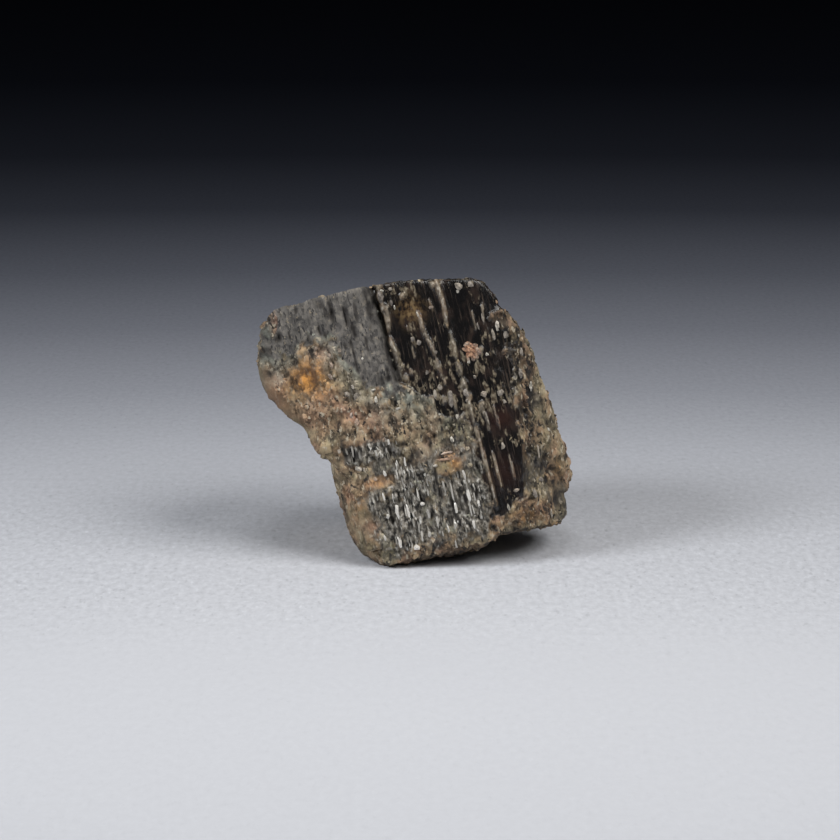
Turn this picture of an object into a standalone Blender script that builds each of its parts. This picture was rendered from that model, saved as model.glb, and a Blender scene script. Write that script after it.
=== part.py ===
"""A baddeleyite crystal, 14 mm wide, standing on its broken lower end.

The crystal is one natural piece, so it is one solid. Its shape is given in the crystal's own
directions: across (to the right, square to the striations), deep (away from the broad front face)
and along (up the striations). Every flat face is a plane at a stated distance from the heart of
the crystal. The striations, the raised sheet, the chips and the lumps of crust are then raised
on it, and the whole is leaned back on a level base.
"""

import math

import bmesh
import bpy
import numpy as np
from mathutils import Matrix, Vector, noise

MM = 0.001

# Size of the block that the crystal is cut from, and where its heart lies in it.
ACROSS_LOW, ACROSS_HIGH = -4.75 * MM, 7.85 * MM
DEEP_LOW, DEEP_HIGH = 0.0, 6.5 * MM
ALONG_LOW, ALONG_HIGH = 0.1 * MM, 12.45 * MM
HEART = np.array([2.0, 3.2, 6.2]) * MM

# How it stands: the striations lean to the left and the broad face leans back. The heart's place
# over the floor puts the bottom centre of the whole crystal at the origin.
LEAN_LEFT = math.radians(13.0)
LEAN_BACK = math.radians(15.0)
HEART_PLACE = Vector((0.43, 0.115, 5.66)) * MM

# Flat faces as (turn, tilt, distance in mm). Turn goes round the striations from the front face
# to the right, tilt is from the striations, and the distance is from the heart.
SHARED_FACES = [
    (0.0, 90.0, 3.20),      # broad front
    (-8.0, 90.0, 3.66),     # front, falling away to the left
    (45.0, 97.0, 5.08),     # long bevel down the right of the front, which widens downwards
    (176.0, 88.0, 3.25),    # broad back
    (150.0, 52.0, 5.75),    # broken bevel at the top of the back
    (135.0, 92.0, 5.15),    # right bevel of the back
    (180.0, 6.0, 5.80),     # top
    (90.0, 12.0, 6.03),     # top, falling to the right
    (90.0, 64.0, 5.70),     # top right corner
    (90.0, 76.0, 5.54),     # shoulder below it
    (90.0, 82.3, 5.36),     # right side
]
MAIN_FACES = SHARED_FACES + [
    (-45.0, 91.0, 4.52),    # long bevel down the left of the front
    (-90.0, 92.0, 4.70),    # left side
    (-140.0, 88.0, 4.60),   # left bevel of the back
    (-90.0, 117.0, 6.09),   # above the left foot
    (-90.0, 142.0, 6.84),   # left foot
    (-90.0, 178.0, 6.22),   # lower end
    (0.0, 140.0, 6.52),     # front edge of the lower end
    (25.0, 108.0, 5.42),    # crusted facet over the right toe
    (90.0, 153.0, 6.06),    # broken slope behind the toe
]
SHOULDER_FACES = SHARED_FACES + [
    (90.0, 126.0, 7.15),    # under the right bulge
    (-90.0, 94.0, 6.52),    # left end of the shoulder
    (-90.0, 70.5, 7.70),
    (-90.0, 31.0, 7.99),    # its upper corner
    (-90.0, 120.6, 4.44),   # the broken slope under it
    (-35.0, 96.0, 6.35),
    (-145.0, 84.0, 5.35),
    (25.0, 108.0, 5.42),
    (180.0, 180.0, 4.90),
]
TOE_FACES = SHARED_FACES + [
    (90.0, 96.0, 5.77),     # right end of the toe
    (-90.0, 92.0, 4.0),
    (25.0, 108.0, 5.36),
    (90.0, 135.0, 7.72),    # its lower right corner
    (165.0, 120.0, 4.70),
    (-90.0, 174.0, 5.55),   # its lower end
    (0.0, 135.0, 6.10),
]
EDGE_SHARPNESS = 48.0  # the higher, the less the edges between faces are worn round

# Grid that the surface is made on.
COLUMNS, ROWS, LAYERS = 44, 26, 14

# The sheet that stands proud on the left of the front, and the open seam along its upper edge.
SHEET_RISE = 0.20 * MM
SHEET_EDGE_TOP, SHEET_EDGE_LOW = 0.92 * MM, 3.95 * MM
SHEET_JOG_TOP, SHEET_JOG_LOW = 8.0 * MM, 6.2 * MM
SHEET_BEVEL = 0.16 * MM
SEAM_PLACE, SEAM_WIDTH, SEAM_DEPTH = 0.98 * MM, 0.12 * MM, 0.26 * MM

# The tallest ridges of the front: place, lower end, upper end and rise, all in mm.
RIDGES = [
    (1.24, 7.5, 12.6, 0.14),
    (2.88, 7.9, 10.8, 0.10),
    (3.82, 7.0, 12.4, 0.14),
    (4.06, 1.2, 5.2, 0.12),
    (4.62, 4.8, 6.4, 0.08),
    (5.15, 2.5, 3.9, 0.08),
]
RIDGE_WIDTH = 0.09 * MM

# A second sheet on the back, and the striations on all the long faces.
BACK_SHEET_EDGE, BACK_SHEET_RISE = 3.1 * MM, 0.32 * MM
STRIATION_RISE = 0.055 * MM
BROAD_SEED, NARROW_SEED = 11, 23

# Crust: how far its lumps stand out, and their two sizes.
LUMP_RISE = (0.10 * MM, 0.06 * MM)
LUMP_SIZE = (1.10 * MM, 0.50 * MM)

# Chips and hollows: place (across, deep, along), radius and depth, all in mm.
CHIPS = [
    ((6.25, 0.3, 10.25), 0.55, 0.22),
    ((7.25, 1.0, 1.60), 0.45, 0.25),
    ((-3.10, 1.0, 5.60), 1.00, 0.18),
    ((0.40, 0.2, 12.30), 0.50, 0.16),
    ((-2.40, 2.5, 12.30), 1.30, 0.35),
    ((4.20, 4.4, 11.60), 1.50, 0.40),
    ((5.00, 6.5, 4.20), 1.60, 0.42),
    ((-1.00, 6.3, 9.20), 1.30, 0.30),
    ((7.60, 3.6, 6.30), 1.20, 0.26),
    ((-3.00, 4.6, 3.20), 1.10, 0.30),
]

CRYSTAL_COLOUR = (0.055, 0.045, 0.036, 1.0)
CRYSTAL_ROUGHNESS = 0.42
CRYSTAL_METALLIC = 0.15


def face_normal(turn, tilt):
    """Outward direction of a face, as (across, deep, along)."""
    turn, tilt = math.radians(turn), math.radians(tilt)
    return np.array([
        math.sin(tilt) * math.sin(turn),
        -math.sin(tilt) * math.cos(turn),
        math.cos(tilt),
    ])


def reach(directions, faces):
    """How far it is from the heart to the surface of a block with these faces, edges worn round."""
    total = np.zeros(len(directions))
    for turn, tilt, distance in faces:
        facing = directions @ face_normal(turn, tilt)
        total += (np.maximum(facing, 0.0) / (distance * MM)) ** EDGE_SHARPNESS
    return total ** (-1.0 / EDGE_SHARPNESS)


def step(value, start, end):
    """0 at start, 1 at end, and smooth between."""
    t = np.clip((value - start) / (end - start), 0.0, 1.0)
    return t * t * (3.0 - 2.0 * t)


def line_places(low, high, count, extra=()):
    """Places of the grid's lines inside low and high, with extra lines where a feature needs them."""
    even = np.linspace(low, high, count + 1)[1:-1]
    spacing = (high - low) / count
    for place in extra:
        even = even[np.abs(even - place) > 0.35 * spacing]
    return sorted([*even, *extra])


def gridded_block():
    """The block that the crystal is cut from, with its six sides cut into a grid."""
    low = Vector((ACROSS_LOW, DEEP_LOW, ALONG_LOW))
    high = Vector((ACROSS_HIGH, DEEP_HIGH, ALONG_HIGH))
    bm = bmesh.new()
    bmesh.ops.create_cube(bm, size=1.0)
    bmesh.ops.scale(bm, vec=high - low, verts=bm.verts)
    bmesh.ops.translate(bm, vec=(low + high) / 2, verts=bm.verts)
    seam_lines = [SEAM_PLACE - 1.5 * SEAM_WIDTH, SEAM_PLACE]
    seam_lines += [place * MM for place, low_end, high_end, rise in RIDGES]
    lines = (
        line_places(ACROSS_LOW, ACROSS_HIGH, COLUMNS, seam_lines),
        line_places(DEEP_LOW, DEEP_HIGH, LAYERS),
        line_places(ALONG_LOW, ALONG_HIGH, ROWS),
    )
    for axis, places in enumerate(lines):
        normal = Vector((0.0, 0.0, 0.0))
        normal[axis] = 1.0
        for place in places:
            everything = bm.verts[:] + bm.edges[:] + bm.faces[:]
            bmesh.ops.bisect_plane(bm, geom=everything, dist=1e-7,
                                   plane_co=normal * place, plane_no=normal)
    return bm


def coordinates(bm):
    return np.array([v.co[:] for v in bm.verts])


def place_vertices(bm, points):
    for vertex, point in zip(bm.verts, points):
        vertex.co = point
    bm.normal_update()


def press_to_faces(points):
    """Draws the block's surface in, straight towards the heart, until it lies on the crystal's faces."""
    away = points - HEART
    directions = away / np.linalg.norm(away, axis=1)[:, None]
    distance = np.maximum.reduce([
        reach(directions, MAIN_FACES),
        reach(directions, SHOULDER_FACES),
        reach(directions, TOE_FACES),
    ])
    return HEART + directions * distance[:, None]


def front_relief(across, along):
    """The raised sheet, its open seam and the tall ridges of the front face."""
    jog = step(along, SHEET_JOG_LOW, SHEET_JOG_TOP)
    edge = SHEET_EDGE_LOW + (SHEET_EDGE_TOP - SHEET_EDGE_LOW) * jog
    height = SHEET_RISE * (0.45 + 0.55 * jog) * step(across, edge + SHEET_BEVEL, edge)
    height -= SEAM_DEPTH * jog * np.exp(-(((across - SEAM_PLACE) / SEAM_WIDTH) ** 2))
    for place, low_end, high_end, rise in RIDGES:
        length = step(along / MM, low_end, low_end + 0.6) * step(along / MM, high_end, high_end - 0.6)
        height += rise * MM * length * np.exp(-(((across / MM - place) * MM / RIDGE_WIDTH) ** 2))
    return height


def back_relief(across, along):
    """The raised sheet of the back, with an edge that wanders."""
    edge = BACK_SHEET_EDGE + 0.5 * MM * np.sin(along / (2.1 * MM))
    return BACK_SHEET_RISE * step(across, edge, edge + SHEET_BEVEL)


def striations(place, spacing, along, seed):
    """Ridges and grooves by turns, one to each grid line, which swell and fade along their length."""
    line = np.rint(place / spacing).astype(int)
    dice = np.random.default_rng(seed)
    heights = dice.uniform(0.3, 1.0, line.max() + 1)
    phases = dice.uniform(0.0, math.tau, line.max() + 1)
    swell = 0.7 + 0.3 * np.sin(along / (1.7 * MM) + phases[line])
    return STRIATION_RISE * np.where(line % 2 == 0, 1.0, -1.0) * heights[line] * swell


def crust_cover(points):
    """Where crust hides the faces: 1 on the left side, the foot and the toe, 0 on the bare front."""
    across, deep, along = points.T / MM
    bare = step(across, 0.0, 2.0) * step(along, 1.2, 2.6) * step(across, 7.2, 6.2)
    sheet = step(along, 7.6 - 0.45 * across, 8.8 - 0.45 * across) * step(across, -4.6, -3.8)
    return 1.0 - 0.85 * np.maximum(bare, sheet) * step(deep, 7.5, 5.0)


def lumps(points):
    """Rounded lumps of crust, in two sizes."""
    height = np.zeros(len(points))
    for rise, size in zip(LUMP_RISE, LUMP_SIZE):
        height += [rise * noise.noise(Vector(point) / size) for point in points]
    return height


def chips(points):
    """Dents where the crystal has been knocked."""
    depth = np.zeros(len(points))
    for place, radius, dent in CHIPS:
        off = np.linalg.norm(points / MM - place, axis=1)
        depth += dent * MM * np.exp(-((off / radius) ** 2))
    return depth


def raise_detail(points, normals):
    """Moves each point along its normal by the relief of the face that it lies on."""
    across, deep, along = points.T
    front, back = np.maximum(-normals[:, 1], 0.0), np.maximum(normals[:, 1], 0.0)
    sides = np.abs(normals[:, 0])
    end = np.abs(normals[:, 2])
    broad_spacing = (ACROSS_HIGH - ACROSS_LOW) / COLUMNS
    side_spacing = (DEEP_HIGH - DEEP_LOW) / LAYERS
    height = front**2 * front_relief(across, along)
    height += back**2 * back_relief(across, along)
    broad = striations(across - across.min(), broad_spacing, along, BROAD_SEED)
    narrow = striations(deep - deep.min(), side_spacing, along, NARROW_SEED)
    height += (np.maximum(front, back) ** 2 * broad + sides**2 * narrow) * (1.0 - end)
    height += (0.25 + 0.75 * crust_cover(points)) * lumps(points)
    height -= chips(points)
    return points + normals * height[:, None]


def stand(bm):
    """Turns the crystal from its own directions to the way that it stands, and levels its base."""
    lean = Matrix.Rotation(-LEAN_BACK, 4, "X") @ Matrix.Rotation(-LEAN_LEFT, 4, "Y")
    placing = Matrix.Translation(HEART_PLACE) @ lean @ Matrix.Translation(-Vector(HEART))
    bmesh.ops.transform(bm, matrix=placing, verts=bm.verts)
    everything = bm.verts[:] + bm.edges[:] + bm.faces[:]
    cut = bmesh.ops.bisect_plane(bm, geom=everything, dist=1e-7, plane_co=(0, 0, 0),
                                 plane_no=(0, 0, 1), clear_inner=True)
    rim = [item for item in cut["geom_cut"] if isinstance(item, bmesh.types.BMEdge)]
    bmesh.ops.contextual_create(bm, geom=rim)


def crystal_material():
    material = bpy.data.materials.new("baddeleyite")
    material.use_nodes = True
    shader = material.node_tree.nodes["Principled BSDF"]
    shader.inputs["Base Color"].default_value = CRYSTAL_COLOUR
    shader.inputs["Roughness"].default_value = CRYSTAL_ROUGHNESS
    shader.inputs["Metallic"].default_value = CRYSTAL_METALLIC
    return material


def make_crystal(collection):
    bm = gridded_block()
    place_vertices(bm, press_to_faces(coordinates(bm)))
    normals = np.array([v.normal[:] for v in bm.verts])
    place_vertices(bm, raise_detail(coordinates(bm), normals))
    stand(bm)
    bmesh.ops.triangulate(bm, faces=bm.faces[:])
    mesh = bpy.data.meshes.new("crystal")
    bm.to_mesh(mesh)
    bm.free()
    mesh.materials.append(crystal_material())
    crystal = bpy.data.objects.new("crystal", mesh)
    collection.objects.link(crystal)
    return crystal


def main():
    for thing in list(bpy.data.objects):
        bpy.data.objects.remove(thing)
    collection = bpy.data.collections.new("baddeleyite_crystal")
    bpy.context.scene.collection.children.link(collection)
    crystal = make_crystal(collection)
    corners = np.array([v.co[:] for v in crystal.data.vertices]) / MM
    print("low", corners.min(0).round(3), "high", corners.max(0).round(3))


main()
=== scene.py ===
"""A baddeleyite crystal, 14 mm wide, as it stands on pale card in soft light."""

import math

import bpy
import numpy as np
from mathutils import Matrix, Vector


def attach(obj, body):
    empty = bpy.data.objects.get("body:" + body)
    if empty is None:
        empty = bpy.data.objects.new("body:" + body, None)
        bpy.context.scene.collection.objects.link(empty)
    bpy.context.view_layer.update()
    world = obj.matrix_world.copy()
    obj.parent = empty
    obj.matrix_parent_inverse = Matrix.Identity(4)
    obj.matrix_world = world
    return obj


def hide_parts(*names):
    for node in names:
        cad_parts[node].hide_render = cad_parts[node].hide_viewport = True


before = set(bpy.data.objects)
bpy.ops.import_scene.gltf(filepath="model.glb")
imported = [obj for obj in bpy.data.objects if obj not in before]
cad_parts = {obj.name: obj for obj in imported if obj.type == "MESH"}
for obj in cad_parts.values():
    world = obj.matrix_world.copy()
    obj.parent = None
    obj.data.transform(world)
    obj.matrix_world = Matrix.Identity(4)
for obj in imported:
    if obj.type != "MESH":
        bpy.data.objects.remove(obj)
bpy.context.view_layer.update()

# ---------------------------------------------------------------------------------------------
# The crystal
# One thick tabular crystal of baddeleyite with a shoulder to the left and a toe to the right,
# all grown together. Its long faces are striated, a raised sheet with a painted grey sheen stands
# proud on the left of the front, and a granular crust covers the ends, the left flank and the
# long right bevel.
# ---------------------------------------------------------------------------------------------

# All sizes here are in mm, in the crystal's own directions: across (to the right), deep (away from
# the front) and along (up the striations).
METRES_PER_MM = 0.001
ACROSS_SPAN = (-4.75, 7.85)
DEEP_SPAN = (0.0, 6.5)
ALONG_SPAN = (0.1, 12.45)
GRID = (220, 40, 145)
# The heart is the point that the faces are measured from, and its place is in the world's own
# directions. The crystal leans to the left and away from the front.
HEART = np.array([2.0, 3.2, 6.2])
HEART_PLACE = np.array([0.43, 0.115, 5.66])
LEAN_LEFT = math.radians(13.0)
LEAN_BACK = math.radians(15.0)

# Faces: turn round the striations from the front to the right, tilt from the striations, and
# distance from the heart.
SHARED_FACES = [
    (0.0, 90.0, 3.20),
    (-8.0, 90.0, 3.66),
    (45.0, 97.0, 5.08),
    (176.0, 88.0, 3.25),
    (150.0, 52.0, 5.75),
    (135.0, 92.0, 5.15),
    (180.0, 6.0, 5.80),
    (90.0, 12.0, 6.03),
    (90.0, 64.0, 5.70),
    (90.0, 76.0, 5.54),
    (90.0, 82.3, 5.36),
]
MAIN_FACES = SHARED_FACES + [
    (-45.0, 91.0, 4.52),
    (-90.0, 92.0, 4.70),
    (-140.0, 88.0, 4.60),
    (-90.0, 117.0, 6.09),
    (-90.0, 142.0, 6.84),
    (-90.0, 178.0, 6.22),
    (0.0, 140.0, 6.52),
    (25.0, 108.0, 5.42),
    (90.0, 153.0, 6.06),
]
SHOULDER_FACES = SHARED_FACES + [
    (90.0, 126.0, 7.15),
    (-90.0, 94.0, 6.52),
    (-90.0, 70.5, 7.70),
    (-90.0, 31.0, 7.99),
    (-90.0, 120.6, 4.44),
    (-35.0, 96.0, 6.35),
    (-145.0, 84.0, 5.35),
    (25.0, 108.0, 5.42),
    (180.0, 180.0, 4.90),
]
TOE_FACES = SHARED_FACES + [
    (90.0, 96.0, 5.77),
    (-90.0, 92.0, 4.0),
    (25.0, 108.0, 5.36),
    (90.0, 135.0, 7.72),
    (165.0, 120.0, 4.70),
    (-90.0, 174.0, 5.55),
    (0.0, 135.0, 6.10),
]
EDGE_SHARPNESS = 60.0


def face_normal(turn, tilt):
    """Outward direction of a face: tilted from the striations, then turned round them."""
    turn, tilt = math.radians(turn), math.radians(tilt)
    return np.array([
        math.sin(tilt) * math.sin(turn),
        -math.sin(tilt) * math.cos(turn),
        math.cos(tilt),
    ])


def reach(directions, faces):
    """Distance from the heart to the faces along each ray. A face is met at its own distance over
    the ray's share towards it; the nearest wins, with edges worn round by a high power mean."""
    total = np.zeros(len(directions))
    for turn, tilt, distance in faces:
        facing = directions @ face_normal(turn, tilt)
        total += (np.maximum(facing, 0.0) / distance) ** EDGE_SHARPNESS
    return total ** (-1.0 / EDGE_SHARPNESS)


def to_world(vectors):
    """Turns the crystal's directions to the world's: leaned to the left, then leaned back."""
    across, deep, along = vectors.T
    x = across * math.cos(LEAN_LEFT) - along * math.sin(LEAN_LEFT)
    up = across * math.sin(LEAN_LEFT) + along * math.cos(LEAN_LEFT)
    y = deep * math.cos(LEAN_BACK) + up * math.sin(LEAN_BACK)
    z = up * math.cos(LEAN_BACK) - deep * math.sin(LEAN_BACK)
    return np.column_stack([x, y, z])


def stand(points):
    """Places the crystal's points in the world, in metres, with nothing below the card."""
    world = HEART_PLACE + to_world(points - HEART)
    world[:, 2] = np.maximum(world[:, 2], 0.0)
    return world * METRES_PER_MM


def block_grid(spans, counts):
    """Points on a block's six sides, on a grid with shared edges, and the quads that join them."""
    ids = np.full([count + 1 for count in counts], -1)
    shell = np.ones(ids.shape, bool)
    shell[1:-1, 1:-1, 1:-1] = False
    ids[shell] = np.arange(shell.sum())
    steps = np.argwhere(shell) / np.array(counts)
    low = np.array([span[0] for span in spans])
    high = np.array([span[1] for span in spans])
    quads = []
    for axis in range(3):
        for end in (0, -1):
            side = ids.take(end, axis)
            corners = [side[:-1, :-1], side[1:, :-1], side[1:, 1:], side[:-1, 1:]]
            if (end == 0) != (axis == 1):
                corners.reverse()
            quads.append(np.stack(corners, -1).reshape(-1, 4))
    return low + steps * (high - low), np.concatenate(quads)


def press_to_faces(points):
    """Draws each point along its ray from the heart until it lies on the faces or on the floor."""
    away = points - HEART
    directions = away / np.linalg.norm(away, axis=1)[:, None]
    blocks = (MAIN_FACES, SHOULDER_FACES, TOE_FACES)
    distance = np.maximum.reduce([reach(directions, faces) for faces in blocks])
    falling = np.maximum(-to_world(directions)[:, 2], 1e-6)
    distance = np.minimum(distance, HEART_PLACE[2] / falling)
    return HEART + directions * distance[:, None]


def step(value, start, end):
    """0 at start, 1 at end, and a smooth S between them: 3 t ** 2 - 2 t ** 3. End may be lower."""
    t = np.clip((value - start) / (end - start), 0.0, 1.0)
    return t * t * (3.0 - 2.0 * t)


def dice(cells, seed):
    """A repeatable random value from 0 to 1 for each whole-numbered cell: its numbers times large
    primes, mixed by shifts."""
    x, y, z = (cells.astype(np.int64) & 0xFFFFFFFF).T
    mixed = (x * 73856093 ^ y * 19349663 ^ z * 83492791 ^ (seed + 1) * 2654435761) & 0xFFFFFFFF
    mixed = ((mixed ^ (mixed >> 15)) * 2246822519) & 0xFFFFFFFF
    mixed = ((mixed ^ (mixed >> 13)) * 3266489917) & 0xFFFFFFFF
    return (mixed ^ (mixed >> 16)) / 4294967296.0


def cloud(points, size, seed):
    """Soft noise from -1 to 1: random values at the corners of a lattice, blended in between."""
    scaled = points / np.asarray(size, float)
    cell = np.floor(scaled)
    blend = scaled - cell
    blend = blend * blend * (3.0 - 2.0 * blend)
    total = np.zeros(len(points))
    for corner in np.ndindex(2, 2, 2):
        share = np.prod(np.where(np.array(corner) == 1, blend, 1.0 - blend), axis=1)
        total += share * dice(cell + corner, seed)
    return 2.0 * total - 1.0


def streaks(points, across_size, along_size, seed):
    """Sharp-crested noise drawn out along the striations: 1 on a crest and -1 in a trough."""
    return 1.0 - 2.0 * np.abs(cloud(points, (across_size, across_size, along_size), seed))


def terraces(points, across_size, along_size, levels, seed):
    """Flat steps with sharp edges: soft noise drawn out along the striations, rounded to levels."""
    level = levels * cloud(points, (across_size, across_size, along_size), seed)
    return (np.floor(level) + step(level - np.floor(level), 0.75, 1.0)) / levels


def wobble(points, along_size, seed):
    """Soft noise that changes mostly along the striations, for edges that run with them."""
    return cloud(points, (9.0, 9.0, along_size), seed)


def bend(points, size, amount, seed):
    """Shifts points by soft noise, so that the cells they fall in get ragged sides."""
    return points + amount * np.column_stack([cloud(points, size, seed + axis) for axis in range(3)])


def pebbles(points, size, seed):
    """Pebbles, one to each cell of a lattice: nearness to a centre, to a rim, own tone, own slope."""
    scaled = points / np.asarray(size, float)
    home = np.floor(scaled)
    nearest = np.full(len(points), 9.0)
    second = np.full(len(points), 9.0)
    tone = np.zeros(len(points))
    tilt = np.zeros(len(points))
    for offset in np.ndindex(3, 3, 3):
        cell = home + offset - 1
        throw = np.column_stack([dice(cell, seed + axis) for axis in range(3)])
        apart = cell + 0.1 + 0.8 * throw - scaled
        distance = np.linalg.norm(apart, axis=1)
        closer = distance < nearest
        slope = np.column_stack([dice(cell, seed + axis) - 0.5 for axis in range(4, 7)])
        second = np.where(closer, nearest, np.minimum(second, distance))
        nearest = np.where(closer, distance, nearest)
        tone = np.where(closer, dice(cell, seed + 3), tone)
        tilt = np.where(closer, 3.0 * np.sum(apart * slope, axis=1), tilt)
    return np.clip(1.0 - nearest, 0.0, 1.0), np.clip(2.0 * (second - nearest), 0.0, 1.0), tone, tilt


def blot(across, along, place, half_size):
    """A soft round patch of the front: e to minus the square of the distance in half sizes."""
    far = ((across - place[0]) / half_size[0]) ** 2 + ((along - place[1]) / half_size[1]) ** 2
    return np.exp(-far)


def blots(across, along, places):
    """The strongest of many soft round patches: each a place, half sizes and a strength, which is 1
    where none is given."""
    layers = [blot(across, along, *patch[:2]) * (patch[2] if len(patch) > 2 else 1.0) for patch in places]
    return np.max(layers, axis=0)


# The raised sheet's edge runs down the front, jogs to the right and runs on down: along, and
# across. The sheet rises more above than below, and the open seam is along its upper part.
SHEET_EDGE = ([0.0, 3.0, 4.4, 5.5, 6.1, 7.0, 7.8, 12.3],
              [3.75, 3.80, 3.80, 3.70, 2.75, 2.10, 1.16, 0.90])
SHEET_RISE = (0.10, 0.20)
# The seam is sunk in and darkened by painted shade.
SEAM_WIDTH, SEAM_DEPTH = 0.12, 0.26

# Tall ridges: across at the upper end, across at the lower end, low end, high end, rise, width.
RIDGES = [
    (1.27, 1.25, 7.5, 12.2, 0.22, 0.120),
    (1.22, 1.24, 10.9, 12.1, 0.10, 0.150),
    (2.58, 3.16, 7.6, 10.9, 0.14, 0.080),
    (3.78, 3.92, 6.9, 12.2, 0.20, 0.115),
    (2.05, 2.15, 8.6, 10.4, 0.05, 0.045),
    (3.24, 3.30, 10.4, 11.4, 0.05, 0.045),
    (4.98, 5.02, 9.2, 10.4, 0.05, 0.045),
    (5.46, 5.34, 9.4, 10.6, 0.08, 0.050),
    (4.44, 4.56, 4.8, 6.4, 0.10, 0.070),
    (3.95, 4.14, 1.4, 6.6, 0.16, 0.080),
    (4.50, 4.54, 2.2, 4.2, 0.08, 0.050),
    (5.14, 5.20, 2.4, 3.9, 0.09, 0.050),
    (5.00, 5.10, 4.6, 6.2, 0.06, 0.045),
    (3.30, 3.36, 5.4, 7.0, 0.08, 0.050),
]

# Where the crust ends: its upper limit on the left of the front (across, and along), and its left
# limit on the right (along, and across).
CRUST_TOP = ([-4.6, -3.9, -2.7, -2.0, -1.1, -0.7, -0.4, 1.0],
             [11.3, 10.3, 10.5, 10.6, 10.1, 9.2, 8.2, 7.7])
CRUST_RIGHT = ([0.0, 1.1, 1.5, 2.0, 2.5, 3.4, 4.6, 5.4, 6.8, 7.9, 8.7, 9.8, 10.4, 11.0],
               [2.9, 3.6, 4.9, 5.75, 6.20, 6.35, 6.2, 6.3, 6.1, 6.15, 6.2, 5.95, 6.7, 7.6])

# Smooth black places that no crust covers: place, half sizes.
BARE_PLACES = [
    ((4.60, 10.0), (0.65, 1.30)),
    ((2.05, 8.60), (0.55, 1.10)),
    ((5.55, 7.60), (0.60, 1.10)),
    ((3.35, 8.60), (0.35, 0.80)),
    ((4.30, 9.30), (0.35, 0.70)),
    ((3.55, 7.40), (0.35, 0.60)),
    ((4.45, 7.10), (0.35, 0.60)),
    ((3.10, 6.20), (0.60, 0.40)),
    ((3.05, 10.9), (0.40, 0.90)),
    ((4.20, 1.90), (0.40, 0.80)),
    ((5.20, 5.30), (0.50, 0.55)),
    ((5.15, 3.10), (0.62, 1.00)),
    ((1.75, 10.2), (0.35, 1.00)),
]

# Stains of the crust: place, half sizes and strength, as in the later lists that have one.
OCHRE_STAINS = [
    ((-2.65, 9.00), (0.85, 0.80), 1.0),
    ((2.75, 3.95), (0.28, 0.40), 0.42),
    ((2.30, 3.50), (0.40, 0.30), 0.22),
    ((-0.65, 3.85), (0.55, 0.24), 0.42),
    ((-3.60, 8.60), (0.60, 0.50), 0.35),
    ((-1.75, 3.10), (0.35, 0.55), 0.25),
    ((7.20, 2.60), (0.35, 0.50), 0.55),
    ((5.30, 0.90), (0.90, 0.30), 0.45),
    ((2.35, 10.9), (0.55, 0.50), 0.9),
]
ROSE_STAINS = [
    ((5.20, 5.40), (0.55, 0.45), 0.7),
    ((4.80, 3.10), (0.55, 0.70), 0.5),
    ((-1.11, 6.89), (0.16, 0.34), 1.0),
    ((-3.45, 11.7), (0.30, 0.45), 0.8),
    ((6.55, 6.20), (0.45, 0.35), 0.3),
    ((-1.40, 2.00), (0.35, 0.40), 0.6),
    ((-2.65, 7.60), (0.80, 0.60), 0.50),
    ((-0.55, 5.65), (0.90, 0.30), 0.50),
    ((-0.60, 6.50), (1.20, 0.90), 0.30),
    ((7.10, 3.40), (0.25, 0.30), 0.6),
    ((-2.30, 3.60), (0.30, 0.50), 0.5),
    ((-0.80, 3.90), (0.80, 0.30), 0.45),
    ((2.35, 4.35), (0.45, 0.30), 0.40),
    ((-1.90, 10.0), (0.50, 0.35), 0.5),
    ((-4.30, 8.80), (0.50, 0.90), 0.5),
]
OLIVE_STAINS = [
    ((3.10, 5.45), (0.55, 0.50), 0.8),
    ((2.30, 3.90), (0.45, 0.24), 1.0),
    ((-0.82, 0.80), (0.35, 0.25), 0.9),
    ((-1.60, 1.20), (0.35, 0.30), 0.5),
    ((7.00, 3.90), (0.25, 0.35), 0.7),
    ((0.60, 4.80), (0.60, 0.35), 0.4),
    ((-0.90, 7.95), (0.45, 0.40), 0.35),
    ((6.60, 8.30), (0.25, 0.60), 0.5),
    ((2.45, 11.3), (0.60, 0.60), 0.5),
]
ASH_STAINS = [
    ((3.05, 5.60), (0.80, 0.75), 0.9),
    ((0.40, 7.30), (0.90, 0.60), 0.7),
    ((1.90, 6.80), (0.60, 0.50), 0.6),
    ((1.20, 4.60), (1.20, 0.50), 0.5),
    ((-3.90, 10.2), (0.60, 0.40), 0.6),
]
# Clusters of the brightest blades: place and half sizes.
BLADE_CLUSTERS = [
    ((0.30, 2.10), (0.45, 0.75)),
    ((3.20, 2.60), (0.40, 0.80)),
    ((2.75, 1.30), (0.50, 0.60)),
    ((0.30, 0.90), (0.45, 0.45)),
    ((0.80, 3.90), (0.60, 0.50)),
    ((-0.20, 5.20), (0.60, 0.40)),
    ((-1.40, 5.40), (0.40, 0.40)),
]
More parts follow.
